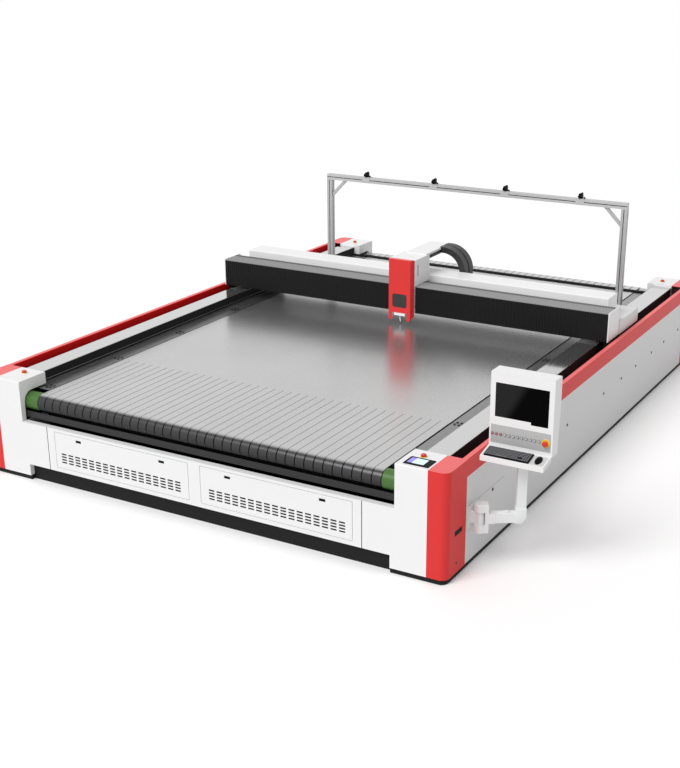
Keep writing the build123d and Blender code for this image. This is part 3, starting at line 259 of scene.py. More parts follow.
whiteCoat = {"colour": "#F1F1F1", "shade": "#EBEBEB", "rough": 0.38, "peel": 12}
whitePowderCoat = powderCoat("whitePowderCoatedSheet", whiteCoat)
# light grey paint for the side panels; on the drive covers the same grey is painted shade
greyCoatAndCoverShade = powderCoat(
    "lightGreyCoatAndCoverShade", {"colour": "#DEDEDE", "shade": "#D8D8D8", "rough": 0.42, "peel": 12, "gloss": 0.35}
)
# its pink top colour is a painted sheen on upward faces, and its brighter inner red is painted light on the shaded
# inner faces of the side bands
redPowderCoat = powderCoat(
    "redPowderCoatedSheet",
    {
        "colour": "#E03B3B", "shade": "#DA3737", "rough": 0.42, "peel": 12, "gloss": 0.16, "paintedTopSheen": "#EE7070",
        "paintedInnerLight": "#F01E1E", "inwardFrom": -1.2
    }
)
carriagePowderCoat = powderCoat(
    "carriagePowderCoatWhiteOverBlack", {**whiteCoat, "below": 0.8625, "lower": "#161617", "gloss": 0.3}
)
armPowderCoat = powderCoat(
    "chainArmPowderCoatWhiteOverBlack", {**whiteCoat, "below": 1.3815, "lower": "#1A1A1B"}
)
blackPowderCoat = powderCoat(
    "blackPowderCoatedSheet", {"colour": "#1A1A1B", "shade": "#1F1F20", "rough": 0.55, "peel": 10, "gloss": 0.14}
)
framePaint = powderCoat(
    "darkGreyPaintedWeldment", {"colour": "#323233", "shade": "#2C2C2D", "rough": 0.48, "peel": 14, "gloss": 0.25}
)
consolePowderCoat = powderCoat(
    "consoleWhitePowderCoat", {"colour": "#EEEEEE", "shade": "#E8E8E8", "rough": 0.40, "peel": 5}
)
buttonPlatePaint = powderCoat(
    "greyPaintedButtonPlate", {"colour": "#B6B6B6", "shade": "#B0B0B0", "rough": 0.45, "peel": 5}
)
# white coat with a slight blue-green tint, painted in against the red light that the body throws on the arm
armPaint = powderCoat(
    "swingArmWhitePowderCoat", {"colour": "#ECEFEF", "shade": "#E7EBEB", "rough": 0.40, "peel": 5, "gloss": 0.4}
)
trayPaint = powderCoat("paleGreyTrayLiner", {"colour": "#D2D2D2", "shade": "#CBCBCB", "rough": 0.5, "peel": 5})
drumPaint = powderCoat(
    "greenRubberLaggedDrum", {"colour": "#4C7536", "shade": "#3D6229", "rough": 0.35, "peel": 8, "gloss": 0.35}
)


def rolledMetal(name, metal):
    # Rolled or drawn metal: fine lines run one way along it, and the shine is drawn out
    # across them. Real lines are under 0.5 mm, drawn at metal["line"] mm so that they show.
    material, tree, shader, place = startFinish(name, sockets={"Metallic": metal["metallic"]})
    stretch = [1000 / metal["line"]] * 3
    stretch["xyz".index(metal["along"])] = 1.2
    lines = addNode(tree, "ShaderNodeMapping", links={"Vector": place, "Scale": stretch})
    grain = addNode(tree, "ShaderNodeTexNoise", links={"Vector": lines.outputs[0], "Scale": 1.0, "Detail": 3.0})
    cloud = addNode(tree, "ShaderNodeTexNoise", links={"Vector": place, "Scale": 1.1, "Detail": 2.0})
    both = addNode(
        tree, "ShaderNodeMath", {"operation": "MULTIPLY"}, {0: grain.outputs["Fac"], 1: cloud.outputs["Fac"]}
    )
    tone = addNode(
        tree, "ShaderNodeMix", colourMix,
        {0: both.outputs[0], 6: toLinear(metal["colour"]), 7: toLinear(metal["shade"])}
    )
    rough = addNode(
        tree, "ShaderNodeMapRange",
        links={
            "Value": grain.outputs["Fac"], "From Min": 0.3, "From Max": 0.7, "To Min": metal["rough"] - 0.04,
            "To Max": metal["rough"] + 0.06
        }
    )
    bump = addNode(
        tree, "ShaderNodeBump", links={"Height": grain.outputs["Fac"], "Strength": 0.06, "Distance": 0.0003}
    )
    bindSurface(tree, shader, tone, rough, bump)
    return material


coverSteel = rolledMetal(
    "polishedStainlessCover",
    {"colour": "#CDCDCD", "shade": "#C6C6C6", "rough": 0.09, "line": 8, "along": "y", "metallic": 0.92}
)
deckSteel = rolledMetal(
    "zincPlatedDeck",
    {"colour": "#8A8A8A", "shade": "#7C7C7C", "rough": 0.28, "line": 10, "along": "y", "metallic": 0.85}
)
tableAlloy = rolledMetal(
    "milledTableAlloy",
    {"colour": "#B9B9B9", "shade": "#A5A5A5", "rough": 0.35, "line": 6, "along": "x", "metallic": 1.0}
)
beamAlloy = rolledMetal(
    "anodisedBeamAlloy",
    {"colour": "#A8A8A9", "shade": "#8F8F90", "rough": 0.33, "line": 5, "along": "x", "metallic": 1.0}
)
clearAlloy = rolledMetal(
    "clearAnodisedProfile",
    {"colour": "#C2C2C3", "shade": "#B4B4B5", "rough": 0.42, "line": 5, "along": "z", "metallic": 0.35}
)
clearBeamAlloy = rolledMetal(
    "clearAnodisedCrossProfile",
    {"colour": "#CACACB", "shade": "#BEBEBF", "rough": 0.42, "line": 5, "along": "x", "metallic": 0.45}
)
groundSteel = rolledMetal(
    "groundGuideSteel",
    {"colour": "#C4C4C6", "shade": "#A9A9AC", "rough": 0.22, "line": 4, "along": "y", "metallic": 1.0}
)


def mouldedPlastic(name, plastic):
    # Injection-moulded ABS or nylon: an even dye with a fine spark-eroded grain. The
    # real grain is 0.3 mm, drawn at plastic["grain"] mm.
    material, tree, shader, place = startFinish(
        name, sockets={"IOR": 1.53, "Specular IOR Level": plastic.get("gloss", 0.5)}
    )
    grain = addNode(tree, "ShaderNodeTexVoronoi", links={"Vector": place, "Scale": 1000 / plastic["grain"]})
    tone = addNode(
        tree, "ShaderNodeMix", colourMix,
        {0: grain.outputs["Distance"], 6: toLinear(plastic["colour"]), 7: toLinear(plastic["shade"])}
    )
    rough = addNode(
        tree, "ShaderNodeMapRange",
        links={
            "Value": grain.outputs["Distance"], "To Min": plastic["rough"] - 0.04, "To Max": plastic["rough"] + 0.08
        }
    )
    bump = addNode(
        tree, "ShaderNodeBump", links={"Height": grain.outputs["Distance"], "Strength": 0.1, "Distance": 0.0003}
    )
    bindSurface(tree, shader, tone, rough, bump)
    return material


blackPlastic = mouldedPlastic(
    "blackMouldedNylon", {"colour": "#0F0F10", "shade": "#171718", "rough": 0.42, "grain": 2, "gloss": 0.05}
)
chainPlastic = mouldedPlastic(
    "mouldedChainNylon", {"colour": "#282829", "shade": "#2E2E2F", "rough": 0.38, "grain": 3, "gloss": 0.35}
)
redPlastic = mouldedPlastic(
    "redMouldedButtonCap", {"colour": "#D8281F", "shade": "#C8221B", "rough": 0.30, "grain": 2}
)
yellowPlastic = mouldedPlastic(
    "yellowMouldedCollar", {"colour": "#F2C21A", "shade": "#E6B410", "rough": 0.38, "grain": 2}
)
keyPlastic = mouldedPlastic(
    "greyMouldedKeycap", {"colour": "#747477", "shade": "#808083", "rough": 0.48, "grain": 1, "gloss": 0.3}
)
pinkPlastic = mouldedPlastic(
    "paleRedPushCap", {"colour": "#B9686A", "shade": "#AF6062", "rough": 0.45, "grain": 1, "gloss": 0.3}
)
silverPlastic = mouldedPlastic(
    "silverSprayedPlastic", {"colour": "#C9C9CB", "shade": "#BEBEC0", "rough": 0.40, "grain": 1}
)
# black rubber for seals and joints; laid in the profile slots it is painted shadow
darkGap = mouldedPlastic(
    "blackRubberSealAndSlotShade", {"colour": "#0B0B0B", "shade": "#101010", "rough": 0.7, "grain": 3, "gloss": 0.08}
)
# black foam for the vent mats; the same finish fills the vent slots as painted shadow
ventMatAndSlotShade = mouldedPlastic(
    "blackFoamAndSlotShade", {"colour": "#0A0A0A", "shade": "#161616", "rough": 0.9, "grain": 4, "gloss": 0.05}
)
paleSeam = mouldedPlastic(
    "greyPanelSealant", {"colour": "#8E8E8E", "shade": "#989898", "rough": 0.7, "grain": 3, "gloss": 0.1}
)


def wovenBelt():
    # Conveyor belt of woven stainless wire, pressed flat: satin and mirror-like at a low angle. The wires are 1.6 mm
    # apart, drawn at 9 mm. Over the rollers and at each end the belt is slit into strips, which show as dark lines.
    # Down the curve of the rollers its colour turns dark grey, then darker below: painted shade.
    belt = {
        # the dark grey and the near black of the rollers below the crest are painted shade
        "top": "#C6C6C6", "dull": "#BBBBBB", "curveShade": "#474748", "under": "#2A2A2B",
        "line": "#7C7C7C", "curveLine": "#101010", "mesh": 9, "rough": (0.23, 0.29),
        "pitch": 0.0808, "slit": 0.0065, "curveSlit": 0.0105, "slitEdge": 0.002,
        "crest": (0.735, 0.7505), "foot": (0.625, 0.700),  # heights between which it darkens
        "frontEnd": fromFront(1160), "rearStart": fromFront(5675),
    }
    material, tree, shader, place = startFinish("wovenStainlessBelt", sockets={"Metallic": 0.88})
    axes = addNode(tree, "ShaderNodeSeparateXYZ", links={"Vector": place})
    step = addNode(
        tree, "ShaderNodeMath", {"operation": "MULTIPLY_ADD"}, {0: axes.outputs["X"], 1: 1 / belt["pitch"], 2: 0.5}
    )
    step = addNode(tree, "ShaderNodeMath", {"operation": "FRACT"}, {0: step.outputs[0]})
    step = addNode(tree, "ShaderNodeMath", {"operation": "SUBTRACT"}, {0: step.outputs[0], 1: 0.5})
    step = addNode(tree, "ShaderNodeMath", {"operation": "ABSOLUTE"}, {0: step.outputs[0]})
    curveShade = addNode(
        tree, "ShaderNodeMapRange", softStep,
        {
            "Value": axes.outputs["Z"], "From Min": belt["crest"][0], "From Max": belt["crest"][1], "To Min": 1.0,
            "To Max": 0.0
        }
    )
    before = addNode(tree, "ShaderNodeMath", {"operation": "LESS_THAN"}, {0: axes.outputs["Y"], 1: belt["frontEnd"]})
    after = addNode(
        tree, "ShaderNodeMath", {"operation": "GREATER_THAN"}, {0: axes.outputs["Y"], 1: belt["rearStart"]}
    )
    ends = addNode(tree, "ShaderNodeMath", {"operation": "ADD"}, {0: before.outputs[0], 1: after.outputs[0]})
    bold = addNode(tree, "ShaderNodeMath", {"operation": "MAXIMUM"}, {0: curveShade.outputs[0], 1: after.outputs[0]})
    reach = addNode(
        tree, "ShaderNodeMapRange",
        links={
            "Value": bold.outputs[0], "To Min": 0.5 * belt["slit"] / belt["pitch"],
            "To Max": 0.5 * belt["curveSlit"] / belt["pitch"]
        }
    )
    nearSlit = addNode(tree, "ShaderNodeMath", {"operation": "SUBTRACT"}, {0: reach.outputs[0], 1: step.outputs[0]})
    slit = addNode(
        tree, "ShaderNodeMath", {"operation": "MULTIPLY_ADD", "use_clamp": True},
        {0: nearSlit.outputs[0], 1: belt["pitch"] / belt["slitEdge"], 2: 0.5}
    )
    mark = addNode(tree, "ShaderNodeMath", {"operation": "MULTIPLY"}, {0: slit.outputs[0], 1: ends.outputs[0]})
    cloud = addNode(tree, "ShaderNodeTexNoise", links={"Vector": place, "Scale": 1.4, "Detail": 2.0})
    warp = addNode(
        tree, "ShaderNodeTexWave", {"bands_direction": "X"}, {"Vector": place, "Scale": 500 / belt["mesh"] / math.pi}
    )
    weft = addNode(
        tree, "ShaderNodeTexWave", {"bands_direction": "Y"}, {"Vector": place, "Scale": 500 / belt["mesh"] / math.pi}
    )
    weave = addNode(
        tree, "ShaderNodeMath", {"operation": "MULTIPLY"}, {0: warp.outputs["Fac"], 1: weft.outputs["Fac"]}
    )
    tone = addNode(
        tree, "ShaderNodeMix", colourMix,
        {0: cloud.outputs["Fac"], 6: toLinear(belt["top"]), 7: toLinear(belt["dull"])}
    )
    low = addNode(
        tree, "ShaderNodeMapRange", softStep,
        {
            "Value": axes.outputs["Z"], "From Min": belt["foot"][0], "From Max": belt["foot"][1], "To Min": 1.0,
            "To Max": 0.0
        }
    )
    rollerShade = addNode(
        tree, "ShaderNodeMix", colourMix, {0: low.outputs[0], 6: toLinear(belt["curveShade"]), 7: toLinear(belt["under"])}
    )
    tone = addNode(
        tree, "ShaderNodeMix", colourMix, {0: curveShade.outputs[0], 6: tone.outputs[2], 7: rollerShade.outputs[2]}
    )
    line = addNode(
        tree, "ShaderNodeMix", colourMix,
        {0: bold.outputs[0], 6: toLinear(belt["line"]), 7: toLinear(belt["curveLine"])}
    )
    tone = addNode(tree, "ShaderNodeMix", colourMix, {0: mark.outputs[0], 6: tone.outputs[2], 7: line.outputs[2]})
    rough = addNode(
        tree, "ShaderNodeMapRange",
        links={"Value": weave.outputs[0], "To Min": belt["rough"][0], "To Max": belt["rough"][1]}
    )
    bump = addNode(tree, "ShaderNodeBump", links={"Height": weave.outputs[0], "Strength": 0.05, "Distance": 0.0004})
    bindSurface(tree, shader, tone, rough, bump)
    return material


def bellowsCloth():
    # PVC-coated polyester, welded into pleats: black and waxy down the front. Along the top it is painted grey, a
    # painted reflection of the bright room, and darker grey further back, painted shade. Thread spacing is 0.6 mm,
    # drawn at 4 mm.
    cloth = {
        # the grey top colour is a painted reflection of the room, and the darker grey further back on the top is
        # painted shade
        "front": "#121212", "frontShade": "#171718", "top": "#9C9C9D", "behind": "#666667",
        "thread": 4, "rough": (0.48, 0.56), "topFrom": (1.1185, 1.1250), "behindFrom": (3583, 3589),
    }
    material, tree, shader, place = startFinish(
        "pvcCoatedBellowsCloth",
        sockets={"IOR": 1.55, "Specular IOR Level": 0.16, "Sheen Weight": 0.02, "Sheen Roughness": 0.4}
    )
    warp = addNode(
        tree, "ShaderNodeTexWave", {"bands_direction": "X"},
        {"Vector": place, "Scale": 500 / cloth["thread"] / math.pi, "Distortion": 0.4}
    )
    weft = addNode(
        tree, "ShaderNodeTexWave", {"bands_direction": "Z"},
        {"Vector": place, "Scale": 500 / cloth["thread"] / math.pi, "Distortion": 0.4}
    )
    weave = addNode(
        tree, "ShaderNodeMath", {"operation": "MULTIPLY"}, {0: warp.outputs["Fac"], 1: weft.outputs["Fac"]}
    )
    cloud = addNode(tree, "ShaderNodeTexNoise", links={"Vector": place, "Scale": 3.0, "Detail": 3.0})
    tone = addNode(
        tree, "ShaderNodeMix", colourMix,
        {0: cloud.outputs["Fac"], 6: toLinear(cloth["front"]), 7: toLinear(cloth["frontShade"])}
    )
    axes = addNode(tree, "ShaderNodeSeparateXYZ", links={"Vector": place})
    upper = addNode(
        tree, "ShaderNodeMapRange",
        links={"Value": axes.outputs["Z"], "From Min": cloth["topFrom"][0], "From Max": cloth["topFrom"][1]}
    )
    behind = addNode(
        tree, "ShaderNodeMapRange",
        links={
            "Value": axes.outputs["Y"], "From Min": fromFront(cloth["behindFrom"][0]),
            "From Max": fromFront(cloth["behindFrom"][1])
        }
    )
    paintedTopLightAndShade = addNode(
        tree, "ShaderNodeMix", colourMix,
        {0: behind.outputs[0], 6: toLinear(cloth["top"]), 7: toLinear(cloth["behind"])}
    )
    tone = addNode(tree, "ShaderNodeMix", colourMix, {0: upper.outputs[0], 6: tone.outputs[2], 7: paintedTopLightAndShade.outputs[2]})
    rough = addNode(
        tree, "ShaderNodeMapRange",
        links={"Value": weave.outputs[0], "To Min": cloth["rough"][0], "To Max": cloth["rough"][1]}
    )
    bump = addNode(tree, "ShaderNodeBump", links={"Height": weave.outputs[0], "Strength": 0.1, "Distance": 0.0004})
    bindSurface(tree, shader, tone, rough, bump)
    return material


def smokedAcrylic():
    # Cast acrylic, dyed grey: a dark see-through window with a sharp gloss and a few
    # fine wipe marks in it
    acrylic = {"colour": "#3A3636", "wiped": "#4A4545", "rough": (0.05, 0.14)}
    material, tree, shader, place = startFinish(
        "smokedCastAcrylic", sockets={"IOR": 1.49, "Specular IOR Level": 0.3, "Transmission Weight": 0.25}
    )
    wipe = addNode(tree, "ShaderNodeTexNoise", links={"Vector": place, "Scale": 18.0, "Detail": 3.0})
    tone = addNode(
        tree, "ShaderNodeMix", colourMix,
        {0: wipe.outputs["Fac"], 6: toLinear(acrylic["colour"]), 7: toLinear(acrylic["wiped"])}
    )
    rough = addNode(
        tree, "ShaderNodeMapRange",
        links={"Value": wipe.outputs["Fac"], "To Min": acrylic["rough"][0], "To Max": acrylic["rough"][1]}
    )
    bindSurface(tree, shader, tone, rough)
    return material


def displayGlass(name, display):
    # Float glass over a liquid crystal panel: near black when idle, with a hard gloss.
    # Its colour runs from one tone to the next along a slanted line: the picture on the touch panel, a painted
    # reflection on the idle screen, and a change of tone along the laser tube.
    material, tree, shader, place = startFinish(name, sockets={"IOR": 1.52, "Specular IOR Level": display["gloss"]})
    axes = addNode(tree, "ShaderNodeSeparateXYZ", links={"Vector": place})
    slant = addNode(
        tree, "ShaderNodeMath", {"operation": "MULTIPLY"}, {0: axes.outputs[display["upAxis"]], 1: display["lean"]}
    )
    slant = addNode(tree, "ShaderNodeMath", {"operation": "ADD"}, {0: slant.outputs[0], 1: axes.outputs["X"]})
    band = addNode(
        tree, "ShaderNodeMapRange", softStep,
        {"Value": slant.outputs[0], "From Min": display["start"], "From Max": display["end"]}
    )
    film = addNode(tree, "ShaderNodeTexNoise", links={"Vector": place, "Scale": 30.0, "Detail": 2.0})
    tone = addNode(
        tree, "ShaderNodeMix", colourMix,
        {0: band.outputs[0], 6: toLinear(display["first"]), 7: toLinear(display["second"])}
    )
    rough = addNode(
        tree, "ShaderNodeMapRange",
        links={"Value": film.outputs["Fac"], "To Min": display["rough"], "To Max": display["rough"] + 0.06}
    )
    bindSurface(tree, shader, tone, rough)
    if display["lit"]:
        tree.links.new(tone.outputs[2], shader.inputs["Emission Color"])
        shader.inputs["Emission Strength"].default_value = display["lit"]
    return material


beltFinish = wovenBelt()
bellowsFinish = bellowsCloth()
windowFinish = smokedAcrylic()
# the lighter band across the idle screen is a painted reflection
screenGlass = displayGlass(
    "idleScreenGlass",
    {
        "upAxis": "Z", "lean": -0.55, "start": 1.69, "end": 1.78, "first": "#262626", "second": "#020202",
        "rough": 0.12, "gloss": 0.03, "lit": 0.0
    }
)
panelGlass = displayGlass(
    "touchPanelGlass",
    {
        "upAxis": "Y", "lean": 0.0, "start": 1.852, "end": 1.857, "first": "#8C86EC", "second": "#D4EEF2",
        "rough": 0.12, "gloss": 0.2, "lit": 0.25
    }
)
tubeGlass = displayGlass(
    "laserTubeGlass",
    {
        "upAxis": "Z", "lean": 0.0, "start": -0.8, "end": 0.8, "first": "#C9D6DA", "second": "#B9C8CE", "rough": 0.08,
        "gloss": 0.5, "lit": 0.0
    }
)
print("finishes mixed")

# Which finish goes on which node of the frame
nodeFinishes = {
    whitePowderCoat: (
        "front_post_left", "front_post_right", "rear_posts", "front_panel", "rear_panel", "front_door_left",
        "front_door_right", "gantry_cover", "head_housing", "head_plate",
    ),
    carriagePowderCoat: ("gantry_end_left", "gantry_end_right"),
    armPowderCoat: ("chain_arm",),
    greyCoatAndCoverShade: ("side_panel_left", "side_panel_right"),
    redPowderCoat: ("side_bands", "corner_covers", "head_front_cover"),
    blackPowderCoat: ("base_plinth", "rail_beams", "chain_tray"),
    framePaint: ("cross_members", "side_frame_left", "side_frame_right", "roller_bearings"),
    consolePowderCoat: ("console_housing",),
    armPaint: ("console_bracket", "console_arm"),
    drumPaint: ("front_roller",),
    coverSteel: ("rail_covers",),
    deckSteel: ("deck_strips",),
    tableAlloy: ("bed_table",),
    clearAlloy: ("camera_posts",),
    clearBeamAlloy: ("camera_beam", "camera_brackets"),
    beamAlloy: ("gantry_beam",),
    groundSteel: ("guide_rails", "beam_rails", "rear_roller", "laser_nozzle"),
    blackPlastic: (
        "door_latch_1", "door_latch_2", "door_latch_3", "door_latch_4", "side_latch", "touch_panel", "cameras",
        "keyboard_and_mouse",
    ),
    chainPlastic: ("energy_chain",),
    redPlastic: ("estop_front_left", "estop_front_right", "estop_rear_left", "estop_rear_right", "console_estop"),
    beltFinish: ("conveyor_belt",),
    bellowsFinish: ("bellows_left", "bellows_right"),
    windowFinish: ("head_window",),
    screenGlass: ("console_screen",),
    tubeGlass: ("laser_tube",),
}
for finish, names in nodeFinishes.items():
    for name in names:
        for materialSlot in nodes[name].material_slots:
            materialSlot.material = finish
print("finishes on", sum(len(names) for names in nodeFinishes.values()), "nodes")


def block(mesh, spanX, spanY, spanZ, edge=0.0):
    # bevelled block; each span is where it starts and ends along an axis
    made = bmesh.ops.create_cube(mesh, size=1.0)["verts"]
    for vert in made:
        vert.co = Vector([(a + b) / 2 + share * (b - a) for (a, b), share in zip((spanX, spanY, spanZ), vert.co)])
    if edge:
        rim = list({link for vert in made for link in vert.link_edges})
        bmesh.ops.bevel(mesh, geom=rim, offset=edge, segments=2, profile=0.6, affect="EDGES")


def turned(mesh, centre, axis, outline, sides=28):
    # turned form: the outline gives radius and height along the axis from one end to the other
    spin = Vector(axis).to_track_quat("Z", "Y")
    rings = []
    for radius, height in outline:
        if radius == 0:
            rings.append([mesh.verts.new(Vector(centre) + spin @ Vector((0, 0, height)))])
            continue
        ring = []
        for count in range(sides):
            turn = 2 * math.pi * count / sides
            corner = spin @ Vector((radius * math.cos(turn), radius * math.sin(turn), height))
            ring.append(mesh.verts.new(Vector(centre) + corner))
        rings.append(ring)
    for first, second in zip(rings, rings[1:]):
        for count in range(sides):
            after = (count + 1) % sides
            corners = [
                first[count % len(first)], first[after % len(first)],
                second[after % len(second)], second[count % len(second)],
            ]
            corners = [vert for index, vert in enumerate(corners) if vert not in corners[:index]]
            if len(corners) > 2:
                mesh.faces.new(corners)


def skinned(mesh, rings):
    # closed skin over a row of cross sections, with a face at either end
    for first, second in zip(rings, rings[1:]):
        if (first[0].co - second[0].co).length < 1e-6:  # two sections in one place
            continue
        for index in range(len(first)):
            after = (index + 1) % len(first)
            mesh.faces.new((first[index], first[after], second[after], second[index]))
    mesh.faces.new(rings[0])
    mesh.faces.new(rings[-1])


def mounted(name, mesh, finish, body, replaced=(), place=None):
    # closes a mesh into a named piece; it rides on a body, or on none
    if place:
        bmesh.ops.transform(mesh, matrix=place, verts=mesh.verts)
    bmesh.ops.recalc_face_normals(mesh, faces=mesh.faces)
    data = bpy.data.meshes.new(name)
    mesh.to_mesh(data)
    mesh.free()
    data.materials.append(finish)
    data.shade_smooth()
    data.set_sharp_from_angle(angle=math.radians(32))
    made = bpy.data.objects.new(name, data)
    scene.collection.objects.link(made)
    if body:
        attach(made, body)
    if replaced:
        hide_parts(*replaced)
    return made


# Pleated bellows over the gantry beam, one each side of the head
bellowsShape = {"pleats": 76, "depth": 0.007, "skin": 0.0022, "corner": 0.010}


def foldBellows(side):
    low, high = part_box(f"bellows_{side}")
    mesh = bmesh.new()
    rings = []
    folds = 2 * bellowsShape["pleats"]
    radius = bellowsShape["corner"]
    thick = bellowsShape["skin"]
    for count in range(folds + 1):
        x = low.x + (high.x - low.x) * count / folds
        inset = bellowsShape["depth"] * (count % 2)
        section = [(low.y + inset, low.z)]
        for step in range(4):
            turn = math.radians(180 - 30 * step)
            section.append(
                (low.y + inset + radius + radius * math.cos(turn), high.z - inset - radius + radius * math.sin(turn))
            )
        section += [
            (high.y, high.z - inset), (high.y, high.z - inset - thick),
            (low.y + inset + thick, high.z - inset - thick), (low.y + inset + thick, low.z)
        ]
        rings.append([mesh.verts.new((x, y, z)) for y, z in section])
    skinned(mesh, rings)
    made = mounted(f"bellows_{side}_pleats", mesh, bellowsFinish, None, (f"bellows_{side}",))
    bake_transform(made)


foldBellows("left")
foldBellows("right")
print("bellows folded")

# Folded covers over the drive boxes behind the bellows' ends; their light grey, darker than the white end plates, is
# painted shade
driveCover = {"x": (1.8825, 2.0945, 2.1030), "y": (3699, 4217, 4222), "z": (0.8660, 0.9895, 0.9925)}
for side, sign in (("left", -1), ("right", 1)):
    coverMesh = bmesh.new()
    inner, face, outer = (sign * x for x in driveCover["x"])
    near, back, rear = spanBehind(driveCover["y"])
    low, lid, top = driveCover["z"]
    block(coverMesh, sorted((face, outer)), (near, rear), (low, top), 0.0012)
    block(coverMesh, sorted((inner, face)), (near, rear), (lid, top), 0.0010)
    block(coverMesh, sorted((inner, face)), (back, rear), (low, top), 0.0010)
    mounted(f"drive_cover_{side}", coverMesh, greyCoatAndCoverShade, "gantry")

# Side channels: deck screws and joints, the edge strips, the rear wiper bar
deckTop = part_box("deck_strips")[1].z
channel = {
    "joints": (292, 1172, 2073, 2991, 3890, 4790),
    "jointX": (1.632, 1.752),
    "jointHalf": 0.004,
    "screwX": (1.664, 1.700),
    "screwY": (-0.028, 0.028),
    "screwOutline": ((0.0120, 0), (0.0120, 0.002), (0.0095, 0.003), (0.005, 0.003), (0.0045, 0.0012), (0, 0.0012)),
    "edgeX": (1.8165, 1.8190),
    "edgeY": (312, 5638),
    "edgeZ": (0.762, 0.768),
    "wiperX": 1.815,
    "wiperY": (5604, 5675),
    "wiperZ": (0.7515, 0.7600),
}
screws = bmesh.new()
seams = bmesh.new()
for side in (-1, 1):
    for joint in channel["joints"]:
        y = fromFront(joint)
        ends = sorted(side * x for x in channel["jointX"])
        jointY = (y - channel["jointHalf"], y + channel["jointHalf"])
        block(seams, ends, jointY, (deckTop - 0.001, deckTop + 0.0006), 0.0003)
        for screwX in channel["screwX"]:
            for offset in channel["screwY"]:
                turned(screws, (side * screwX, y + offset, deckTop - 0.0005), (0, 0, 1), channel["screwOutline"], 14)
mounted("deck_screws", screws, blackPlastic, "bed")
mounted("deck_joint_marks", seams, darkGap, "bed")
strips = bmesh.new()
for side in (-1, 1):
    ends = sorted(side * x for x in channel["edgeX"])
    block(strips, ends, spanBehind(channel["edgeY"]), channel["edgeZ"], 0.0006)
mounted("channel_edge_strips", strips, deckSteel, "bed")
wiper = bmesh.new()
block(wiper, (-channel["wiperX"], channel["wiperX"]), spanBehind(channel["wiperY"]), channel["wiperZ"], 0.002)
mounted("rear_wiper_bar", wiper, darkGap, "bed")

# Quarter-turn locks along the side panels
lockShape = {
    "places": (776, 1537, 2298, 3200, 3676, 4097, 4574, 4982, 5467),
    "height": 0.455,
    "outline": (
        (0.0130, -0.001), (0.0130, 0.0012), (0.0115, 0.0026), (0.0070, 0.0026), (0.0062, 0.0010), (0, 0.0010)
    ),
}
locks = bmesh.new()
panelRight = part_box("side_panel_right")[1].x
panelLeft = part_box("side_panel_left")[0].x
for place in lockShape["places"]:
    turned(locks, (panelRight, fromFront(place), lockShape["height"]), (1, 0, 0), lockShape["outline"], 18)
    turned(locks, (panelLeft, fromFront(place), lockShape["height"]), (-1, 0, 0), lockShape["outline"], 18)
mounted("side_panel_locks", locks, blackPlastic, "bed")

# Foam filter mats behind the door vents, and dark plates in the vent slots as painted shadow
mats = {"x": (0.132, 1.352), "y": (2.3, 5.0), "z": (0.222, 0.324)}
for side, sign in (("left", -1), ("right", 1)):
    matMesh = bmesh.new()
    ends = sorted(sign * x for x in mats["x"])
    block(matMesh, ends, spanBehind(mats["y"]), mats["z"], 0.0008)
    mounted(f"vent_mat_{side}", matMesh, ventMatAndSlotShade, f"front_door_{side}")
# dark plates a little larger than each vent slot fill it: painted shadow
ventSlotShadows = {
    "groups": 17, "rows": 4, "x": (0.162, 1.322), "middle": 0.273, "pitch": 0.024,
    "half": (0.0258, 0.0061), "deep": (-0.0002, 0.0016),
}
halfX, halfZ = ventSlotShadows["half"]
slotShadowY = [frontY + deep for deep in ventSlotShadows["deep"]]
for side, sign in (("left", -1), ("right", 1)):
    slotShadowMesh = bmesh.new()
    for group in range(ventSlotShadows["groups"]):
        x = sign * (ventSlotShadows["x"][0] + (ventSlotShadows["x"][1] - ventSlotShadows["x"][0]) * group / (ventSlotShadows["groups"] - 1))
        for row in range(ventSlotShadows["rows"]):
            z = ventSlotShadows["middle"] + (row - 1.5) * ventSlotShadows["pitch"]
            block(slotShadowMesh, (x - halfX, x + halfX), slotShadowY, (z - halfZ, z + halfZ), 0.0002)
    mounted(f"vent_slot_shadows_{side}", slotShadowMesh, ventMatAndSlotShade, f"front_door_{side}")

# Dark joints beside the front panel, and the seam of the right side panel
joints = {"x": 1.486, "half": 0.003, "z": (0.1395, 0.5185), "seamY": (505, 985), "seamZ": 0.483, "seamHalf": 0.0015}
jointMesh = bmesh.new()
for sign in (-1, 1):
    centre = sign * joints["x"]
    jointX = (centre - joints["half"], centre + joints["half"])
    block(jointMesh, jointX, (frontY - 0.0002, frontY + 0.002), joints["z"], 0.0001)
mounted("front_panel_joints", jointMesh, darkGap, "bed")
seamMesh = bmesh.new()
seamSpan = (joints["seamZ"] - joints["seamHalf"], joints["seamZ"] + joints["seamHalf"])
block(seamMesh, (panelRight - 0.001, panelRight + 0.0004), spanBehind(joints["seamY"]), seamSpan, 0.0001)
mounted("side_panel_seam", seamMesh, paleSeam, "bed")

# Small red lock on the right front corner, with a dark key core
cornerLock = {
    "place": (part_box("corner_covers")[1].x, fromFront(164), 0.119),
    "ring": ((0.0125, -0.002), (0.0125, 0.0014), (0.0105, 0.0024), (0.0060, 0.0024), (0.0050, 0.0006), (0, 0.0006)),
    "core": ((0, 0.0005), (0.0090, 0.0005), (0.0090, 0.0026), (0, 0.0026)),
}
lockRing = bmesh.new()
turned(lockRing, cornerLock["place"], (1, 0, 0), cornerLock["ring"], 20)
mounted("corner_lock", lockRing, redPlastic, "bed")
lockCore = bmesh.new()
turned(lockCore, cornerLock["place"], (1, 0, 0), cornerLock["core"], 16)
mounted("corner_lock_core", lockCore, darkGap, "bed")

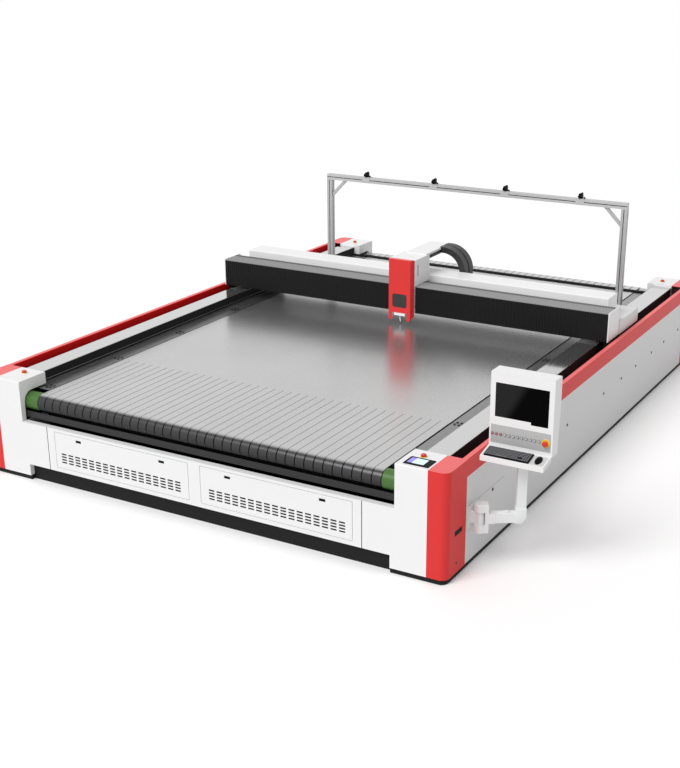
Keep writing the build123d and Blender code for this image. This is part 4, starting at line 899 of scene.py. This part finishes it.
# Yellow collars under the emergency stops on the posts, dished so that a pressed cap clears them
postStops = {
    "places": ((-1.875, 200), (1.875, 200), (-1.875, 5750), (1.875, 5750)),
    "foot": 0.867,
    "outline": (
        (0.0105, 0.0), (0.026, 0.0), (0.026, 0.001), (0.0245, 0.0032), (0.0214, 0.0032), (0.0208, 0.0006),
        (0.0105, 0.0006), (0.0105, 0.0),
    ),
}
collars = bmesh.new()
for stopX, stopY in postStops["places"]:
    turned(collars, (stopX, fromFront(stopY), postStops["foot"]), (0, 0, 1), postStops["outline"], 28)
mounted("estop_collars", collars, yellowPlastic, "bed")
print("bed dressed")

# Touch panel on the right front post: display, keys
touchPanel = {
    "displayX": (1.8155, 1.9455), "displayY": (52.5, 147.5), "keys": 5,
    "keyX": (1.9620, 1.9780), "keyY": (60, 20), "keyHalf": 0.004,
}
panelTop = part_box("touch_panel")[1].z
displayZ = (panelTop - 0.0025, panelTop - 0.0005)
panelDisplay = bmesh.new()
block(panelDisplay, touchPanel["displayX"], spanBehind(touchPanel["displayY"]), displayZ, 0.0004)
mounted("touch_panel_display", panelDisplay, panelGlass, "bed")
panelKeys = bmesh.new()
for row in range(touchPanel["keys"]):
    y = fromFront(touchPanel["keyY"][0] + touchPanel["keyY"][1] * row)
    keyY = (y - touchPanel["keyHalf"], y + touchPanel["keyHalf"])
    block(panelKeys, touchPanel["keyX"], keyY, (panelTop - 0.0005, panelTop - 0.0001), 0.00015)
mounted("touch_panel_keys", panelKeys, silverPlastic, "bed")

# Console face: button plate, push buttons, stop collar
console = {
    "middle": 2.4785, "front": fromFront(490),
    "plateHalf": 0.2250, "plateZ": (0.9535, 1.0895), "plateDeep": (0.0012, 0.0031),
    "buttons": 12, "redButtons": 3, "buttonMiddle": -0.038, "buttonPitch": 0.032, "buttonZ": 1.022,
    "ring": (
        (0.0072, -0.001), (0.0118, -0.001), (0.0118, 0.0025), (0.0104, 0.0040), (0.0078, 0.0046),
        (0.0072, 0.0046), (0.0072, -0.001),
    ),
    "cap": ((0.0071, 0.0062), (0.0071, 0.0070), (0.0055, 0.0082), (0, 0.0088)),
    "stop": (2.667, 1.019),
    "collar": ((0.0105, 0.0), (0.0305, 0.0), (0.0305, 0.0012), (0.0285, 0.0026), (0.0105, 0.0026), (0.0105, 0.0)),
}
plate = bmesh.new()
plateX = (console["middle"] - console["plateHalf"], console["middle"] + console["plateHalf"])
plateY = [console["front"] + deep for deep in console["plateDeep"]]
block(plate, plateX, plateY, console["plateZ"], 0.0004)
mounted("console_button_plate", plate, buttonPlatePaint, "console")
rings = bmesh.new()
caps = bmesh.new()
redCaps = bmesh.new()
for count in range(console["buttons"]):
    x = console["middle"] + console["buttonMiddle"] + (count - (console["buttons"] - 1) / 2) * console["buttonPitch"]
    centre = (x, plateY[0], console["buttonZ"])
    turned(rings, centre, (0, -1, 0), console["ring"], 20)
    turned(redCaps if count < console["redButtons"] else caps, centre, (0, -1, 0), console["cap"], 18)
mounted("console_button_rings", rings, keyPlastic, "console")
mounted("console_button_caps", caps, silverPlastic, "console")
mounted("console_button_red_caps", redCaps, pinkPlastic, "console")
collar = bmesh.new()
turned(collar, (console["stop"][0], console["front"] - 0.003, console["stop"][1]), (0, -1, 0), console["collar"], 36)
mounted("console_stop_collar", collar, yellowPlastic, "console")

# Keyboard and mouse on the sloping tray
tray = {
    "slope": math.atan2(0.034, 0.150), "start": (2.4785, fromFront(340), 0.900), "pocket": 0.007,
    "liner": ((-0.2240, 0.2240), (0.0135, 0.1360), (-0.0006, 0.0008)),
}
trayPlace = (
    Matrix.Translation(tray["start"])
    @ Matrix.Rotation(tray["slope"], 4, "X")
    @ Matrix.Translation((0, 0, -tray["pocket"]))
)
linerMesh = bmesh.new()
block(linerMesh, *tray["liner"], 0.0003)
mounted("tray_liner", linerMesh, trayPaint, "console", place=trayPlace)
keyboard = {
    "middle": (-0.050, 0.076), "size": (0.334, 0.112), "height": 0.012, "rows": 6, "columns": 19, "rise": 0.0032,
    "rim": (0.007, 0.006), "gap": (0.0024, 0.0034),
    "spaceBar": (4, 6),  # its column, and how many it takes
}
long, deep = keyboard["size"]
left = keyboard["middle"][0] - long / 2
near = keyboard["middle"][1] - deep / 2
boardMesh = bmesh.new()
block(boardMesh, (left, left + long), (near, near + deep), (0.0, keyboard["height"]), 0.003)
mounted("keyboard_case", boardMesh, blackPlastic, "console", ("keyboard_and_mouse",), trayPlace)
keyMesh = bmesh.new()
pitchX = (long - 2 * keyboard["rim"][0]) / keyboard["columns"]
pitchY = (deep - 2 * keyboard["rim"][1]) / keyboard["rows"]
barStart, barWide = keyboard["spaceBar"]
gapX, gapY = keyboard["gap"]
keyZ = (keyboard["height"] - 0.0005, keyboard["height"] + keyboard["rise"])
for row in range(keyboard["rows"]):
    column = 0
    while column < keyboard["columns"]:
        wide = barWide if row == 0 and column == barStart else 1
        if column not in (14, 15) or row != 1:  # the bare corner beside the arrow keys
            x = left + keyboard["rim"][0] + pitchX * column
            y = near + keyboard["rim"][1] + pitchY * row
            block(keyMesh, (x + gapX, x + pitchX * wide - gapX), (y + gapY, y + pitchY - gapY), keyZ, 0.0010)
        column += wide
mounted("keyboard_keys", keyMesh, keyPlastic, "console", place=trayPlace)
mouse = {
    "place": (0.172, 0.077), "sides": 28,
    "waist": 0.12,  # how far the sides draw in, most of it over the far half
    "layers": (  # height, half width, half length, shift to the rear
        (0.0005, 0.024, 0.044, 0.0), (0.005, 0.0255, 0.0455, 0.0), (0.012, 0.024, 0.043, -0.001),
        (0.018, 0.020, 0.037, -0.003), (0.0225, 0.012, 0.024, -0.006)
    ),
    "wheelPlace": (-0.003, 0.022, 0.0150),
    "wheel": ((0, 0), (0.0065, 0), (0.0075, 0.001), (0.0075, 0.005), (0.0065, 0.006), (0, 0.006)),
}
mouseX, mouseY = mouse["place"]
mouseMesh = bmesh.new()
mouseRings = []
for height, wide, long, back in mouse["layers"]:
    ring = []
    for count in range(mouse["sides"]):
        turn = 2 * math.pi * count / mouse["sides"]
        pinch = 1.0 - mouse["waist"] * math.cos(turn) ** 2 * (1 + math.sin(turn)) / 2
        corner = (mouseX + pinch * wide * math.cos(turn), mouseY + back + long * math.sin(turn), height)
        ring.append(mouseMesh.verts.new(corner))
    mouseRings.append(ring)
skinned(mouseMesh, mouseRings)
wheelMesh = bmesh.new()
wheelX, wheelY, wheelZ = mouse["wheelPlace"]
turned(wheelMesh, (mouseX + wheelX, mouseY + wheelY, wheelZ), (1, 0, 0), mouse["wheel"], 20)
mounted("mouse_wheel", wheelMesh, silverPlastic, "console", place=trayPlace)
mounted("tray_mouse", mouseMesh, blackPlastic, "console", place=trayPlace)
print("console dressed")

# Swing arm: elbow cover and clamp lever, drawn in the arm's own plane
arm = {
    "pivot": (2.237, fromFront(392), 0.403),
    "mast": (2.485, fromFront(540), 0.403),
    "elbow": ((-0.0385, -0.0385), (0.0016, -0.0385), (0.0385, -0.0016), (0.0385, 0.078), (-0.0385, 0.078)),
    "lever": ((-0.168, 0.0335), (-0.088, 0.0335), (-0.088, 0.0480), (-0.100, 0.0510), (-0.160, 0.0400)),
    "halfWidth": {"elbow": 0.0385, "lever": 0.011},
}
armTurn = math.atan2(arm["mast"][1] - arm["pivot"][1], arm["mast"][0] - arm["pivot"][0])
armPlace = Matrix.Translation(arm["mast"]) @ Matrix.Rotation(armTurn, 4, "Z")
for name, half in arm["halfWidth"].items():
    sideMesh = bmesh.new()
    faces = [[sideMesh.verts.new((along, across, up)) for along, up in arm[name]] for across in (-half, half)]
    skinned(sideMesh, faces)
    bmesh.ops.bevel(sideMesh, geom=list(sideMesh.edges), offset=0.0025, segments=2, profile=0.6, affect="EDGES")
    mounted(f"arm_{name}", sideMesh, armPaint, "console_arm", place=armPlace)
print("swing arm dressed")

# Energy chain: both tracks as closed tubes, with a fine joint between links
chain = {
    "bend": (0.170, 1.168), "middle": 0.210, "height": 0.060, "width": 0.092, "front": 3955, "spacing": 0.108,
    "start": 0.1283, "pitch": 0.060, "links": 15, "seam": 0.0011, "edge": 0.0045,
    "stations": (0.0, 0.03, 0.26, 0.5, 0.74, 0.97, 1.0),  # cross sections along one link
}
chainMesh = bmesh.new()
lead = chain["bend"][0] - chain["start"]
bendLength = math.pi * chain["middle"]
for track in range(2):
    rings = []
    for link in range(chain["links"]):
        for share in chain["stations"]:
            travel = (link + share) * chain["pitch"] + 0.0005
            turn = min(max(travel - lead, 0.0) / chain["middle"], math.pi)
            ahead = min(travel - lead, 0.0)
            beyond = max(travel - lead - bendLength, 0.0)
            centreX = chain["bend"][0] + chain["middle"] * math.sin(turn) + ahead - beyond
            centreZ = chain["bend"][1] + chain["middle"] * math.cos(turn)
            inset = chain["seam"] if share in (0.0, 1.0) else 0.0
            high = chain["height"] / 2 - inset
            wide = chain["width"] - inset
            edge = chain["edge"]
            section = (
                (-high, inset), (high - edge, inset), (high, edge + inset), (high, wide - edge), (high - edge, wide),
                (-high, wide)
            )
            startY = fromFront(chain["front"]) + track * chain["spacing"]
            corners = [
                (centreX + out * math.sin(turn), startY + across, centreZ + out * math.cos(turn))
                for out, across in section
            ]
            rings.append([chainMesh.verts.new(corner) for corner in corners])
    skinned(chainMesh, rings)
bmesh.ops.remove_doubles(chainMesh, verts=chainMesh.verts, dist=0.00005)
mounted("energy_chain_tracks", chainMesh, chainPlastic, "head", ("energy_chain",))
print("energy chain closed")

# Cutting head: narrow slot in the right side of the housing
headSlot = {"y": (3452, 3462), "z": (1.222, 1.331)}
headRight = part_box("head_housing")[1].x
slotMesh = bmesh.new()
block(slotMesh, (headRight - 0.001, headRight + 0.0004), spanBehind(headSlot["y"]), headSlot["z"], 0.0002)
mounted("head_side_slot", slotMesh, darkGap, "head")

# Cameras over the rear beam: bodies, lens rings and clamp knobs
cameraSet = {
    "x": (-1.225, -0.408, 0.408, 1.225), "beamTop": 1.833, "half": 0.018, "y": (4868, 4918), "top": 1.880,
    "plugX": (0.004, 0.017), "plugInset": 8, "plugZ": (-0.002, 0.011), "lensZ": 1.857,
    "lens": (
        (0.0, 0.018), (0.009, 0.018), (0.012, 0.022), (0.0155, 0.022), (0.0155, 0.006), (0.0165, 0.004),
        (0.0165, -0.001), (0.0, -0.001)
    ),
    "knob": ((0.0, 0.0), (0.005, 0.0), (0.005, 0.005), (0.009, 0.006), (0.009, 0.015), (0.007, 0.017), (0.0, 0.017)),
    "knobX": 0.040, "knobY": 4885,
}
bodyMesh = bmesh.new()
lensMesh = bmesh.new()
knobMesh = bmesh.new()
front, rear = cameraSet["y"]
top = cameraSet["top"]
plugY = spanBehind((front + cameraSet["plugInset"], rear - cameraSet["plugInset"]))
for cameraX in cameraSet["x"]:
    bodyX = (cameraX - cameraSet["half"], cameraX + cameraSet["half"])
    block(bodyMesh, bodyX, spanBehind((front, rear)), (cameraSet["beamTop"], top), 0.003)
    plugX = [cameraX + x for x in cameraSet["plugX"]]
    block(bodyMesh, plugX, plugY, [top + z for z in cameraSet["plugZ"]], 0.002)
    lensCentre = (cameraX, fromFront(front), cameraSet["lensZ"])
    turned(lensMesh, lensCentre, (0, -1, 0), cameraSet["lens"], 24)
    knobFoot = (cameraX + cameraSet["knobX"], fromFront(cameraSet["knobY"]), cameraSet["beamTop"])
    turned(knobMesh, knobFoot, (0, 0, 1), cameraSet["knob"], 18)
mounted("camera_bodies", bodyMesh, blackPlastic, "bed", ("cameras",))
mounted("camera_lens_rings", lensMesh, blackPlastic, "bed")
mounted("camera_clamp_knobs", knobMesh, blackPlastic, "bed")

# Dark floors of the profile slots, as shadow keeps them in the real frame
slots = {
    "post": 1.687, "y": 4896, "half": 0.030, "deep": 0.0072, "wide": 0.0042, "thick": 0.0012,
    "postZ": (0.822, 1.769), "beamZ": 1.800, "beamX": 1.716,
}


def slotSpan(centre, way):
    # from and to of a slot's floor across one axis; way is the side that it faces, 0 if none
    middle = centre + way * (slots["half"] - slots["deep"])
    reach = slots["thick"] if way else slots["wide"]
    return middle - reach, middle + reach


slotFloors = bmesh.new()
middleY = fromFront(slots["y"])
sides = ((1, 0), (-1, 0), (0, 1), (0, -1))
for sign in (-1, 1):
    for across, along in sides:
        block(slotFloors, slotSpan(sign * slots["post"], across), slotSpan(middleY, along), slots["postZ"])
for along, up in sides:
    block(slotFloors, (-slots["beamX"], slots["beamX"]), slotSpan(middleY, along), slotSpan(slots["beamZ"], up))
mounted("profile_slot_floors", slotFloors, darkGap, "bed")
print("head and cameras dressed")
